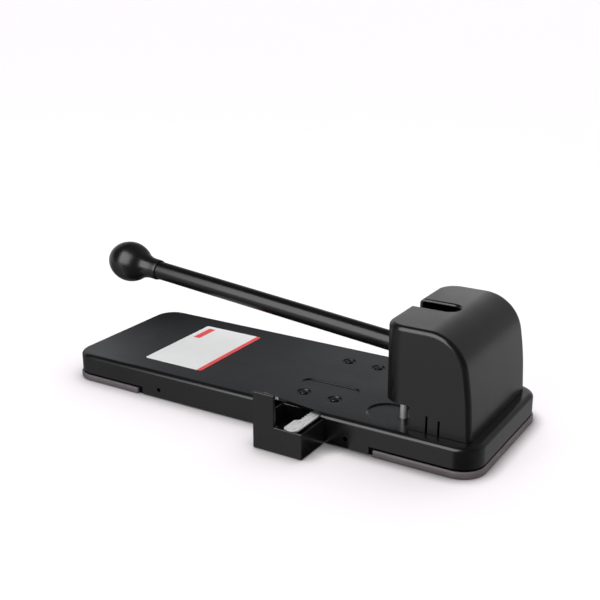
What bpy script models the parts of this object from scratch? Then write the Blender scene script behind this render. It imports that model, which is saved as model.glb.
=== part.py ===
# Heavy two-hole punch: pressed steel base, hood with the punch head inside,
# long tube lever with a ball knob, sliding paper guide.
#
# Frame: metres, +Z up. X runs along the base, +X towards the punch head;
# -Y is the side with the paper guide. The origin is the middle of the
# underside, on the surface that the punch stands on. The lever is down and
# the pins are through the throat, as the punch lies when it isn't in use.

import math

import bmesh
import bpy
from mathutils import Matrix, Vector

MM = 0.001
GAP = 0.3                      # between neighbours that touch, mm

# ---- driving dimensions, mm ------------------------------------------------
BASE_LEN = 400.0               # pressed shell, wall to wall
BASE_WID = 143.5
BASE_TOP = 25.0                # top face above the table
BASE_CORNER = 20.0             # corner radius in plan
BASE_EDGE = 4.2                # rounding along the top edge
SHEET = 2.5                    # thickness of the top face
WALL = 2.0
SHELL_FOOT = 0.7               # lower edge of the wall above the table
SEAT_DEPTH = 1.2               # pressed seats and dimples

TRIM_TOP = 6.0                 # rubber trims
TRIM_LIP = 7.1                 # their inner lip, behind the wall's lower edge
TRIM_OUT = 1.2                 # they stand out from the wall by this
TRIM_IN = 5.0
TRIM_LEFT_END = -123.0
TRIM_RIGHT_END = 114.6
ROOM_TOP = 7.4                 # the wall is cut back round them
ROOM_LEFT = -118.0
ROOM_RIGHT = 110.5
ROOM_DEPTH = 1.2               # shallow part of that cut, beyond the ends of the trims

HOLE_SPACING = 80.0            # between the two punched holes
PIN_X = 125.3
PIN_R = 3.0
PIN_TIP = 22.0
STROKE = 24.0
DIE_R = 4.8
STOP_X = 137.3                 # face the sheets are pushed against
THROAT_TOP = 44.5

HOOD_X0, HOOD_X1 = 113.6, 190.1
HOOD_HALF = 60.1
HOOD_TOP = 108.2
HOOD_CORNER = 17.0             # front corners in plan
HOOD_SHOULDER = 33.2           # rear shoulder in profile
HOOD_WALL = 2.5
HOOD_PANEL_EDGE = 139.7        # the throat is cut back to here
SLOT_HALF = 10.0
SLOT_END = 152.7

PIVOT = (162.0, 0.0, 66.0)     # lever pivot
LEVER_TILT = 5.44              # degrees above level at rest
TUBE_DROP = 2.63               # axis of the tube passes this far under the pivot
TUBE_R = 8.4
TUBE_BORE = 6.4
TUBE_S0, TUBE_S1 = 36.2, 339.0  # along the lever, from the pivot
KNOB_S0 = 313.4                # neck of the knob
KNOB_R = 19.05                 # its body is a little longer than round
KNOB_A = 22.3
KNOB_C = 35.8                  # centre of the body from the neck's edge
KNOB_FLOW = 20.9               # the neck flows into the body up to here
ROLLER_ARM = 24.0
ROLLER_X = PIVOT[0] - ROLLER_ARM * math.cos(math.radians(30.0))
ROLLER_Z = PIVOT[2] - ROLLER_ARM * math.sin(math.radians(30.0))

GUIDE_X0, GUIDE_X1 = 24.9, 70.5
GUIDE_FRONT = -107.4
GUIDE_TOP = 22.2
TOWER_X1 = 44.9
TOWER_TOP = 49.0
TOWER_BACK = -104.4
STRIP_X0, STRIP_X1 = 50.6, 63.6
STRIP_STEP = -83.6             # behind this the strip is narrower, with teeth
TEETH_X = 54.0
STRIP_TAIL_X1 = 58.8
DETENT_Y = -34.0               # the leaf that clicks over the strip's teeth

SCREW_X = (32.1, 61.8)
SCREW_Y = 40.0

# ---- clean start -----------------------------------------------------------
for old in list(bpy.data.objects):
    bpy.data.objects.remove(old, do_unlink=True)

scene = bpy.context.scene
parts = bpy.data.collections.new("two_hole_punch")
cutters = bpy.data.collections.new("cutters")
scene.collection.children.link(parts)
scene.collection.children.link(cutters)


# ---- materials -------------------------------------------------------------
def material(name, colour, rough, metal):
    m = bpy.data.materials.new(name)
    m.use_nodes = True
    p = m.node_tree.nodes["Principled BSDF"]
    p.inputs["Base Color"].default_value = (*colour, 1.0)
    p.inputs["Roughness"].default_value = rough
    p.inputs["Metallic"].default_value = metal
    m.diffuse_color = (*colour, 1.0)
    return m


BLACK_PAINT = material("black_paint", (0.018, 0.018, 0.019), 0.38, 0.0)
BLACK_PLASTIC = material("black_plastic", (0.020, 0.020, 0.021), 0.42, 0.0)
GUIDE_PLASTIC = material("guide_plastic", (0.020, 0.020, 0.021), 0.50, 0.0)
TRIM_RUBBER = material("trim_rubber", (0.055, 0.052, 0.054), 0.70, 0.0)
TUBE_PAINT = material("tube_paint", (0.012, 0.012, 0.013), 0.28, 0.0)
KNOB_PLASTIC = material("knob_plastic", (0.012, 0.012, 0.013), 0.45, 0.0)
BRIGHT_STEEL = material("bright_steel", (0.62, 0.62, 0.63), 0.18, 1.0)
PLAIN_STEEL = material("plain_steel", (0.42, 0.42, 0.43), 0.38, 1.0)
DARK_SCREW = material("dark_screw", (0.03, 0.03, 0.032), 0.35, 0.6)
LABEL = material("label_sheet", (0.85, 0.85, 0.84), 0.45, 0.0)
PAN = material("pan_plastic", (0.03, 0.03, 0.032), 0.6, 0.0)


# ---- helpers (all lengths in mm, world coordinates) ------------------------
def finish(mesh, name, mat, centre, coll=None, parent=None, smooth=True):
    """Mesh given in mm world coordinates -> object with its origin at centre."""
    c = Vector(centre)
    mesh.transform(Matrix.Scale(MM, 4) @ Matrix.Translation(-c))
    obj = bpy.data.objects.new(name, mesh)
    (coll or parts).objects.link(obj)
    if parent is not None:
        obj.parent = parent
        obj.location = c * MM - parent.location
    else:
        obj.location = c * MM
    if mat is not None:
        mesh.materials.append(mat)
    if smooth:
        mesh.shade_smooth()
        mesh.set_sharp_from_angle(angle=math.radians(35.0))
    if coll is cutters:
        obj.hide_render = True
        obj.display_type = "WIRE"
    return obj


def box(name, x, y, z, mat=None, coll=None, parent=None, centre=None):
    bm = bmesh.new()
    bmesh.ops.create_cube(bm, size=1.0)
    mid = ((x[0] + x[1]) / 2, (y[0] + y[1]) / 2, (z[0] + z[1]) / 2)
    size = Matrix.Diagonal((x[1] - x[0], y[1] - y[0], z[1] - z[0], 1.0))
    bm.transform(Matrix.Translation(mid) @ size)
    mesh = bpy.data.meshes.new(name)
    bm.to_mesh(mesh)
    bm.free()
    return finish(mesh, name, mat, centre or mid, coll, parent)


def rod(name, r, p0, p1, mat=None, segs=24, coll=None, parent=None,
        centre=None, r2=None, turn=0.0):
    a, b = Vector(p0), Vector(p1)
    bm = bmesh.new()
    bmesh.ops.create_cone(bm, cap_ends=True, cap_tris=False, segments=segs,
                          radius1=r, radius2=r if r2 is None else r2,
                          depth=(b - a).length)
    quat = (b - a).to_track_quat("Z", "Y")
    bm.transform(Matrix.Translation((a + b) / 2) @ quat.to_matrix().to_4x4()
                 @ Matrix.Rotation(math.radians(turn), 4, "Z"))
    mesh = bpy.data.meshes.new(name)
    bm.to_mesh(mesh)
    bm.free()
    return finish(mesh, name, mat, centre or (a + b) / 2, coll, parent)


def solid_outline(name, outlines, span, plane="XY", mat=None, coll=None,
                  parent=None, centre=None, edge=None):
    """A flat outline (with holes, if more than one loop is given) drawn as a
    2D curve and extruded over span, then turned into a mesh."""
    curve = bpy.data.curves.new(name + "_outline", "CURVE")
    curve.dimensions = "2D"
    curve.fill_mode = "BOTH"
    curve.extrude = abs(span[1] - span[0]) / 2
    for loop in outlines:
        sp = curve.splines.new("POLY")
        sp.points.add(len(loop) - 1)
        for p, (u, v) in zip(sp.points, loop):
            p.co = (u, v, 0.0, 1.0)
        sp.use_cyclic_u = True
    obj = bpy.data.objects.new(name + "_outline", curve)
    cutters.objects.link(obj)
    bpy.context.view_layer.update()
    deps = bpy.context.evaluated_depsgraph_get()
    mesh = bpy.data.meshes.new_from_object(obj.evaluated_get(deps))
    bm = bmesh.new()
    bm.from_mesh(mesh)
    bmesh.ops.remove_doubles(bm, verts=bm.verts, dist=0.001)
    mid = (span[0] + span[1]) / 2
    if plane == "XY":
        turn = Matrix.Translation((0, 0, mid))
    elif plane == "XZ":
        turn = Matrix.Translation((0, mid, 0)) @ Matrix.Rotation(math.pi / 2, 4, "X")
    else:
        turn = (Matrix.Translation((mid, 0, 0)) @ Matrix.Rotation(math.pi / 2, 4, "Z")
                @ Matrix.Rotation(math.pi / 2, 4, "X"))
    bm.transform(turn)
    bmesh.ops.recalc_face_normals(bm, faces=bm.faces)
    bm.to_mesh(mesh)
    bm.free()
    mesh.name = name
    bpy.data.objects.remove(obj, do_unlink=True)
    bpy.data.curves.remove(curve)
    if centre is None:
        cs = [v.co for v in mesh.vertices]
        centre = [(min(c[i] for c in cs) + max(c[i] for c in cs)) / 2 for i in range(3)]
    out = finish(mesh, name, mat, centre, coll, parent)
    if edge is not None:
        height, width, segs = edge
        attr = mesh.attributes.new("bevel_weight_edge", "FLOAT", "EDGE")
        z = height * MM - centre[2] * MM
        for e in mesh.edges:
            if all(abs(mesh.vertices[i].co.z - z) < 1e-5 for i in e.vertices):
                attr.data[e.index].value = 1.0
        bev = out.modifiers.new("edge", "BEVEL")
        bev.limit_method = "WEIGHT"
        bev.width = width * MM
        bev.segments = segs
    return out


def arc(cx, cy, r, a0, a1, n):
    return [(cx + r * math.cos(math.radians(a0 + (a1 - a0) * i / n)),
             cy + r * math.sin(math.radians(a0 + (a1 - a0) * i / n)))
            for i in range(n + 1)]


def rounded(x0, x1, y0, y1, r, n=6):
    return (arc(x1 - r, y1 - r, r, 0, 90, n) + arc(x0 + r, y1 - r, r, 90, 180, n)
            + arc(x0 + r, y0 + r, r, 180, 270, n) + arc(x1 - r, y0 + r, r, 270, 360, n))


def stadium(x0, x1, yc, r, n=12, round0=True, round1=True):
    pts = []
    pts += (arc(x1 - r, yc, r, -90, 90, n) if round1 else [(x1, yc - r), (x1, yc + r)])
    pts += (arc(x0 + r, yc, r, 90, 270, n) if round0 else [(x0, yc + r), (x0, yc - r)])
    return pts


def boolean(target, tool, op="DIFFERENCE"):
    mod = target.modifiers.new(tool.name, "BOOLEAN")
    mod.operation = op
    mod.object = tool
    mod.solver = "EXACT"


def cut(target, *tools):
    for t in tools:
        boolean(target, t)


def join(target, *tools):
    for t in tools:
        boolean(target, t, "UNION")


def tool_box(name, x, y, z):
    return box("cut_" + name, x, y, z, coll=cutters)


def tool_rod(name, r, p0, p1, segs=24):
    return rod("cut_" + name, r, p0, p1, segs=segs, coll=cutters)


def tool_outline(name, outlines, span, plane="XY"):
    return solid_outline("cut_" + name, outlines, span, plane, coll=cutters)


def empty(name, at):
    e = bpy.data.objects.new(name, None)
    e.empty_display_size = 0.02
    e.location = Vector(at) * MM
    parts.objects.link(e)
    return e


# ---- moving groups ---------------------------------------------------------
lever_axis = empty("lever_axis", PIVOT)
beam_axis = empty("beam_axis", (PIN_X, 0.0, 62.0))
guide_axis = empty("guide_axis", (STRIP_X0, GUIDE_FRONT, 20.0))
bpy.context.view_layer.update()

# ============================================================================
# BASE
# ============================================================================
hx, hy = BASE_LEN / 2, BASE_WID / 2
base = solid_outline("base_shell", [rounded(-hx, hx, -hy, hy, BASE_CORNER, 7)],
                     (SHELL_FOOT, BASE_TOP), mat=BLACK_PAINT,
                     edge=(BASE_TOP, BASE_EDGE, 4))
cut(base, tool_outline("base_hollow",
                       [rounded(-hx + WALL, hx - WALL, -hy + WALL, hy - WALL,
                                BASE_CORNER - WALL, 6)],
                       (-5.0, BASE_TOP - SHEET)))

# bosses that the bottom plate is screwed to
BOTTOM_SCREWS = [(-180.0, -50.0), (-180.0, 50.0), (165.0, -61.0), (165.0, 61.0)]
for i, (x, y) in enumerate(BOTTOM_SCREWS):
    join(base, rod("boss_%d" % i, 4.0, (x, y, 3.3), (x, y, BASE_TOP - SHEET + 1.0),
                   segs=16, coll=cutters))
    cut(base, tool_rod("boss_bore_%d" % i, 2.0, (x, y, 0.0), (x, y, 14.0), 12))

# pressed seats: round each die, at the four screws, and one along the middle
for s in (-1, 1):
    cut(base, tool_outline("die_seat_%d" % s,
                           [stadium(93.2, 137.0, s * HOLE_SPACING / 2, 18.3, 12,
                                    round1=False)],
                           (BASE_TOP - SEAT_DEPTH, BASE_TOP + 5.0)))
    cut(base, tool_rod("die_hole_%d" % s, DIE_R + GAP,
                       (PIN_X, s * HOLE_SPACING / 2, 10.0),
                       (PIN_X, s * HOLE_SPACING / 2, 30.0)))
cut(base, tool_outline("mid_seat", [stadium(18.0, 74.0, -19.0, 8.0, 10)],
                       (BASE_TOP - 0.8, BASE_TOP + 5.0)))
for i, x in enumerate(SCREW_X):
    for j, y in enumerate((-SCREW_Y, SCREW_Y)):
        cut(base, tool_rod("dimple_%d%d" % (i, j), 6.4, (x, y, BASE_TOP - SEAT_DEPTH),
                           (x, y, 30.0)))
        cut(base, tool_rod("rail_hole_%d%d" % (i, j), 2.3, (x, y, 10.0), (x, y, 30.0), 16))

# wall opening and notch for the paper guide
cut(base, tool_box("guide_opening", (GUIDE_X0 - 0.5, GUIDE_X1 + 0.5), (-80.0, -60.0),
                   (-5.0, BASE_TOP - SHEET)))
cut(base, tool_outline("guide_notch",
                       [[(1.0, -80.0), (1.5, -62.0), (4.5, -58.0), (9.0, -58.2),
                         (20.0, -61.5), (43.0, -65.0), (62.0, -67.5), (66.5, -70.0),
                         (68.0, -80.0)]],
                       (BASE_TOP - 12.0, BASE_TOP + 5.0)))

# small holes in the long walls
for i, x in enumerate((-99.5, 89.5)):
    cut(base, tool_rod("wall_hole_%d" % i, 2.0, (x, -80.0, 8.5), (x, 80.0, 8.5), 16))

# the wall is cut back where the trims wrap round the ends
cut(base, tool_box("trim_left_room", (-230.0, TRIM_LEFT_END + GAP), (-90.0, 90.0),
                   (-5.0, ROOM_TOP)),
    tool_box("trim_right_room", (TRIM_RIGHT_END - GAP, 230.0), (-90.0, 90.0),
             (-5.0, ROOM_TOP)))
for i, s in enumerate((-1, 1)):
    y0, y1 = sorted((s * (hy - ROOM_DEPTH), s * 90.0))
    cut(base, tool_box("trim_left_step_%d" % i, (-130.0, ROOM_LEFT), (y0, y1),
                       (-5.0, ROOM_TOP)),
        tool_box("trim_right_step_%d" % i, (ROOM_RIGHT, 130.0), (y0, y1),
                 (-5.0, ROOM_TOP)))

# holes of the screws and bolts that come up through the top face
FRAME_BOLTS = [(157.0, -25.5), (157.0, 25.5), (174.0, -25.5), (174.0, 25.5)]
DIE_SCREWS = [(142.0, -25.0), (142.0, 25.0)]
HOOD_SCREWS = [(182.5, -53.5), (182.5, 53.5)]
for i, (x, y) in enumerate(FRAME_BOLTS):
    cut(base, tool_rod("bolt_hole_%d" % i, 2.8, (x, y, 10.0), (x, y, 30.0), 16))
for i, (x, y) in enumerate(DIE_SCREWS):
    cut(base, tool_rod("die_screw_hole_%d" % i, 2.5, (x, y, 10.0), (x, y, 30.0), 16))
for i, (x, y) in enumerate(HOOD_SCREWS):
    cut(base, tool_rod("hood_screw_hole_%d" % i, 1.9, (x, y, 10.0), (x, y, 30.0), 16))

# bottom plate, flush with the trims, screws sunk into it
bottom = solid_outline("bottom_plate",
                       [rounded(-hx + 5.5, hx - 5.5, -hy + 5.5, hy - 5.5, 14.5, 5)],
                       (0.0, 3.0), mat=PAN)
cut(bottom, tool_box("guide_way", (GUIDE_X0 - 0.5, GUIDE_X1 + 0.5), (-90.0, -46.0),
                     (-5.0, 8.0)))
for i, (x, y) in enumerate(BOTTOM_SCREWS):
    cut(bottom, tool_rod("sink_%d" % i, 4.2, (x, y, -3.0), (x, y, 1.8), 16),
        tool_rod("plate_hole_%d" % i, 2.0, (x, y, -3.0), (x, y, 6.0), 12))
    screw = rod("bottom_screw_%d" % (i + 1), 3.8, (x, y, 0.3), (x, y, 1.5), DARK_SCREW, 16)
    join(screw, rod("bottom_screw_shank_%d" % i, 1.7, (x, y, 1.0), (x, y, 12.0), segs=12,
                    coll=cutters))


def trim(name, x_keep):
    ring = solid_outline(name,
                         [rounded(-hx - TRIM_OUT, hx + TRIM_OUT, -hy - TRIM_OUT,
                                  hy + TRIM_OUT, BASE_CORNER + TRIM_OUT, 8),
                          rounded(-hx + TRIM_IN, hx - TRIM_IN, -hy + TRIM_IN,
                                  hy - TRIM_IN, BASE_CORNER - TRIM_IN, 6)],
                         (0.0, TRIM_TOP), mat=TRIM_RUBBER)
    join(ring, tool_outline(name + "_lip",
                            [rounded(-hx + 3.0, hx - 3.0, -hy + 3.0, hy - 3.0,
                                     BASE_CORNER - 3.0, 6),
                             rounded(-hx + TRIM_IN, hx - TRIM_IN, -hy + TRIM_IN,
                                     hy - TRIM_IN, BASE_CORNER - TRIM_IN, 6)],
                            (TRIM_TOP - 1.5, TRIM_LIP)))
    cut(ring, tool_box(name + "_rest", x_keep, (-90.0, 90.0), (-5.0, 15.0)))
    return ring


trim("foot_trim_left", (TRIM_LEFT_END, 230.0))
trim("foot_trim_right", (-230.0, TRIM_RIGHT_END))

box("label_plate", (-132.6, -69.5), (-48.8, 48.8), (BASE_TOP + GAP, BASE_TOP + 0.55), LABEL)

# ============================================================================
# PUNCH HEAD, fixed part
# ============================================================================
die_plate = box("die_plate", (110.0, 147.0), (-58.0, 58.0), (14.0, 22.2), PLAIN_STEEL)
spine = box("back_stop", (STOP_X, 147.0), (-56.0, 56.0), (25.3, 44.8), PLAIN_STEEL)
stripper = solid_outline("stripper_plate",
                         [[(118.3, -40.0), (121.5, -49.0), (128.0, -56.0), (147.0, -56.0),
                           (147.0, -14.3), (126.2, -14.3), (126.2, 14.3), (147.0, 14.3),
                           (147.0, 56.0), (128.0, 56.0), (121.5, 49.0), (118.3, 40.0)]],
                         (45.1, 49.1), mat=PLAIN_STEEL)
for s, side in ((-1, "front"), (1, "rear")):
    y = s * HOLE_SPACING / 2
    cut(die_plate, tool_rod("die_bore_" + side, DIE_R + GAP, (PIN_X, y, 5.0), (PIN_X, y, 30.0)))
    bush = rod("die_bush_" + side, DIE_R, (PIN_X, y, 13.6), (PIN_X, y, 24.0), BRIGHT_STEEL)
    cut(bush, tool_rod("bush_bore_" + side, PIN_R + 0.2, (PIN_X, y, 5.0), (PIN_X, y, 30.0)))
    cut(stripper, tool_rod("strip_bore_" + side, PIN_R + GAP, (PIN_X, y, 40.0),
                           (PIN_X, y, 55.0)))

for i, (x, y) in enumerate(DIE_SCREWS):
    cut(die_plate, tool_rod("dp_hole_%d" % i, 2.5, (x, y, 5.0), (x, y, 30.0), 16))
    cut(spine, tool_rod("sp_bore_%d" % i, 2.5, (x, y, 20.0), (x, y, 37.0), 16))
    s = rod("die_screw_%d" % (i + 1), 3.8, (x, y, 10.4), (x, y, 13.7), DARK_SCREW, 16)
    join(s, rod("die_screw_shank_%d" % i, 2.2, (x, y, 12.0), (x, y, 35.0), segs=12,
                coll=cutters))
for i, y in enumerate((-48.0, 48.0)):
    x = 142.5
    cut(stripper, tool_rod("st_hole_%d" % i, 2.2, (x, y, 40.0), (x, y, 55.0), 16))
    cut(spine, tool_rod("st_bore_%d" % i, 2.2, (x, y, 37.5), (x, y, 55.0), 16))
    s = rod("stripper_screw_%d" % (i + 1), 3.6, (x, y, 49.4), (x, y, 52.2), DARK_SCREW, 16)
    join(s, rod("stripper_screw_shank_%d" % i, 1.9, (x, y, 39.0), (x, y, 50.0), segs=12,
                coll=cutters))

SIDE_OUTLINE = [(134.0, 49.4), (147.3, 49.4), (147.3, 25.3), (180.0, 25.3),
                (180.0, 60.0), (172.0, 78.0), (152.0, 82.0), (140.0, 82.0), (134.0, 70.0)]
for s, side in ((-1, "front"), (1, "rear")):
    y0, y1 = sorted((s * 14.5, s * 18.5))
    f0, f1 = sorted((s * 17.0, s * 31.0))
    plate = solid_outline("side_plate_" + side, [SIDE_OUTLINE], (y0, y1), "XZ", PLAIN_STEEL)
    join(plate, box("foot_" + side, (150.0, 180.0), (f0, f1), (25.3, 28.5), coll=cutters))
    cut(plate, tool_rod("pivot_bore_" + side, 5.3, (PIVOT[0], -30 if s < 0 else 10, PIVOT[2]),
                        (PIVOT[0], -10 if s < 0 else 30, PIVOT[2])))
    for i, (x, y) in enumerate(FRAME_BOLTS):
        if y * s > 0:
            cut(plate, tool_rod("foot_hole_%d" % i, 2.8, (x, y, 20.0), (x, y, 33.0), 16))
for i, (x, y) in enumerate(FRAME_BOLTS):
    b = rod("frame_bolt_%d" % (i + 1), 4.2, (x, y, 28.8), (x, y, 32.0), DARK_SCREW, 6)
    join(b, rod("frame_bolt_shank_%d" % i, 2.5, (x, y, 14.5), (x, y, 30.0), segs=12,
                coll=cutters))
    n = rod("frame_nut_%d" % (i + 1), 4.6, (x, y, 17.5), (x, y, 22.2), PLAIN_STEEL, 6)
    cut(n, tool_rod("nut_bore_%d" % i, 2.8, (x, y, 10.0), (x, y, 30.0), 16))

rod("pivot_pin", 5.0, (PIVOT[0], -21.5, PIVOT[2]), (PIVOT[0], 21.5, PIVOT[2]), BRIGHT_STEEL)
for s, side in ((-1, "front"), (1, "rear")):
    clip = rod("pivot_clip_" + side, 8.2, (PIVOT[0], s * 18.8, PIVOT[2]),
               (PIVOT[0], s * 20.4, PIVOT[2]), PLAIN_STEEL, 20)
    cut(clip, tool_rod("clip_bore_" + side, 5.3, (PIVOT[0], s * 15.0, PIVOT[2]),
                       (PIVOT[0], s * 25.0, PIVOT[2])))


def coil(name, x, y, z0, z1, r, wire, turns, per_turn=12):
    """Compression spring standing on z0."""
    curve = bpy.data.curves.new(name, "CURVE")
    curve.dimensions = "3D"
    curve.bevel_depth = wire
    curve.bevel_resolution = 2
    curve.use_fill_caps = True
    sp = curve.splines.new("POLY")
    n = int(turns * per_turn)
    sp.points.add(n)
    for i, p in enumerate(sp.points):
        a = 2 * math.pi * i / per_turn
        p.co = (x + r * math.cos(a), y + r * math.sin(a),
                z0 + wire + (z1 - z0 - 2 * wire) * i / n, 1.0)
    obj = bpy.data.objects.new(name, curve)
    cutters.objects.link(obj)
    bpy.context.view_layer.update()
    deps = bpy.context.evaluated_depsgraph_get()
    mesh = bpy.data.meshes.new_from_object(obj.evaluated_get(deps))
    bpy.data.objects.remove(obj, do_unlink=True)
    bm = bmesh.new()
    bm.from_mesh(mesh)
    bmesh.ops.remove_doubles(bm, verts=bm.verts, dist=0.001)
    bmesh.ops.recalc_face_normals(bm, faces=bm.faces)
    bm.to_mesh(mesh)
    bm.free()
    return finish(mesh, name, BRIGHT_STEEL, (x, y, z0))


for s, side in ((-1, "front"), (1, "rear")):
    coil("return_spring_" + side, PIN_X, s * HOLE_SPACING / 2, 49.4, 60.4, 4.8, 0.65, 5)

# ============================================================================
# HOOD
# ============================================================================
def hood_profile(inset):
    sx, sz = 151.9, 75.0
    r = HOOD_SHOULDER - inset
    rear = [(HOOD_X1 - inset, 25.3 if inset == 0 else 20.0), (187.4 - inset, 61.0)]
    return (rear + arc(sx, sz, r, 2, 90, 12)
            + [(HOOD_X0 + inset, HOOD_TOP - inset),
               (HOOD_X0 + inset, 25.3 if inset == 0 else 20.0)])


def hood_plan(inset):
    x0, x1, h, r = HOOD_X0 + inset, HOOD_X1 + 10.0, HOOD_HALF - inset, HOOD_CORNER - inset
    return ([(x1, -h), (x1, h)] + arc(x0 + r, h - r, r, 90, 180, 8)
            + arc(x0 + r, -h + r, r, 180, 270, 8))


hood = solid_outline("hood", [hood_profile(0.0)], (-HOOD_HALF, HOOD_HALF), "XZ", BLACK_PLASTIC)
boolean(hood, tool_outline("hood_plan", [hood_plan(0.0)], (0.0, 150.0)), "INTERSECT")
inner = tool_outline("hood_hollow", [hood_profile(HOOD_WALL)],
                     (-HOOD_HALF + HOOD_WALL, HOOD_HALF - HOOD_WALL), "XZ")
boolean(inner, tool_outline("hood_hollow_plan", [hood_plan(HOOD_WALL)], (0.0, 150.0)),
        "INTERSECT")
cut(hood, inner)
for i, (x, y) in enumerate(HOOD_SCREWS):
    join(hood, rod("hood_boss_%d" % i, 5.2, (x, y, 25.3), (x, y, 45.0), segs=16, coll=cutters))
    cut(hood, tool_rod("hood_boss_bore_%d" % i, 1.9, (x, y, 20.0), (x, y, 40.0), 12))
    s = rod("hood_screw_%d" % (i + 1), 3.4, (x, y, 19.4), (x, y, 22.2), DARK_SCREW, 16)
    join(s, rod("hood_screw_shank_%d" % i, 1.6, (x, y, 21.0), (x, y, 38.0), segs=12,
                coll=cutters))
cut(hood, tool_box("throat", (100.0, HOOD_PANEL_EDGE), (-80.0, 80.0), (10.0, THROAT_TOP)))
cut(hood, tool_outline("lever_slot", [stadium(90.0, SLOT_END, 0.0, SLOT_HALF, 12, round0=False)],
                       (56.5, 130.0)))
for s in (-1, 1):
    for i, (x, top) in enumerate(((153.7, 39.6), (163.9, 37.8))):
        y0, y1 = sorted((s * 50.0, s * 70.0))
        cut(hood, tool_box("slit_%d_%d" % (s, i), (x - 0.9, x + 0.9), (y0, y1), (20.0, top)))

# ============================================================================
# LEVER
# ============================================================================
tilt = math.radians(LEVER_TILT)
along = Vector((-math.cos(tilt), 0.0, math.sin(tilt)))
across = Vector((math.sin(tilt), 0.0, math.cos(tilt)))
foot = Vector(PIVOT) - across * TUBE_DROP


def on_lever(s, up=0.0, side=0.0):
    return foot + along * s + across * up + Vector((0.0, side, 0.0))


tube = rod("lever_tube", TUBE_R, on_lever(TUBE_S0), on_lever(TUBE_S1), TUBE_PAINT, 32,
           parent=lever_axis, centre=PIVOT)
cut(tube, tool_rod("tube_bore", TUBE_BORE, on_lever(TUBE_S0 - 10), on_lever(TUBE_S1 + 10), 24),
    tool_rod("tube_cross", 2.8, on_lever(47, 0, -20), on_lever(47, 0, 20), 16))

# knob: turned profile, neck at the bottom, body above; turned about its own Z


def knob_body(h):
    """Radius of the body at height h along it, from -1 at its foot to 1 at its tip."""
    return KNOB_R * math.sqrt(max(1.0 - abs(h) ** 1.9, 0.0))


profile = []
h_join = (KNOB_FLOW - KNOB_C) / KNOB_A
for i in range(21):                                   # body, tip first
    h = math.sin(math.radians(90.0 - i * (90.0 - math.degrees(math.asin(h_join))) / 20))
    profile.append((knob_body(h), KNOB_C + KNOB_A * h))
r_join = knob_body(h_join)
rise = (knob_body(h_join + 0.001) - knob_body(h_join - 0.001)) / (0.002 * KNOB_A)
for i in range(9, -1, -1):                            # hollow between body and neck
    u = i / 10
    r = 9.6 + (r_join - 9.6) * (3 * u ** 2 - 2 * u ** 3)
    r += (KNOB_FLOW - 3.0) * rise * (u ** 3 - u ** 2)
    profile.append((r, 3.0 + (KNOB_FLOW - 3.0) * u))
profile += [(9.6, 0.6), (9.0, 0.0), (TUBE_R + GAP, 0.0),
            (TUBE_R + GAP, 25.9), (0.0, 25.9)]
mesh = bpy.data.meshes.new("lever_knob")
bm = bmesh.new()
vs = [bm.verts.new((r * MM, 0.0, t * MM)) for r, t in profile]
for a, b in zip(vs, vs[1:]):
    bm.edges.new((a, b))
bm.to_mesh(mesh)
bm.free()
knob = bpy.data.objects.new("lever_knob", mesh)
parts.objects.link(knob)
mesh.materials.append(KNOB_PLASTIC)
knob.parent = lever_axis
knob.location = (on_lever(KNOB_S0) - Vector(PIVOT)) * MM
knob.rotation_euler = (0.0, -(math.pi / 2 - tilt), 0.0)
turn = knob.modifiers.new("turn", "SCREW")
turn.steps = turn.render_steps = 32
turn.use_merge_vertices = True
turn.merge_threshold = 0.00001
turn.use_normal_calculate = True
turn.use_smooth_shade = True

# yoke: plug in the tube, cross wall, two cheeks
yoke = box("lever_yoke", (126.9, 134.0), (-12.7, 12.7), (63.5, 74.0), PLAIN_STEEL,
           parent=lever_axis, centre=PIVOT)
join(yoke, rod("yoke_plug", 6.1, on_lever(34.2), on_lever(60.0), segs=24, coll=cutters))
CHEEK = ([(128.2, 73.6), (128.2, 63.9), (135.0, 52.5)]
         + arc(ROLLER_X, ROLLER_Z, 6.5, 200, 330, 8)
         + [(158.0, 59.2)] + arc(PIVOT[0], PIVOT[2], 8.0, 290, 450, 8))
for s, side in ((-1, "front"), (1, "rear")):
    y0, y1 = sorted((s * 8.7, s * 12.5))
    join(yoke, solid_outline("cheek_" + side, [CHEEK[::-1]], (y0, y1), "XZ", coll=cutters))
cut(yoke, tool_rod("yoke_pivot", 5.3, (PIVOT[0], -20, PIVOT[2]), (PIVOT[0], 20, PIVOT[2])),
    tool_rod("yoke_roller", 2.3, (ROLLER_X, -20, ROLLER_Z), (ROLLER_X, 20, ROLLER_Z), 16),
    tool_rod("yoke_cross", 2.8, on_lever(47, 0, -20), on_lever(47, 0, 20), 16))
rod("tube_rivet", 2.5, on_lever(47, 0, -8.9), on_lever(47, 0, 8.9), PLAIN_STEEL, 16,
    parent=lever_axis, centre=PIVOT)
rod("roller_pin", 2.0, (ROLLER_X, -13.6, ROLLER_Z), (ROLLER_X, 13.6, ROLLER_Z), BRIGHT_STEEL,
    16, parent=lever_axis, centre=PIVOT)
roller = rod("drive_roller", 4.0, (ROLLER_X, -7.8, ROLLER_Z), (ROLLER_X, 7.8, ROLLER_Z),
             BRIGHT_STEEL, 24, parent=lever_axis, centre=PIVOT)
cut(roller, tool_rod("roller_bore", 2.3, (ROLLER_X, -20, ROLLER_Z), (ROLLER_X, 20, ROLLER_Z),
                     16))

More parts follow.
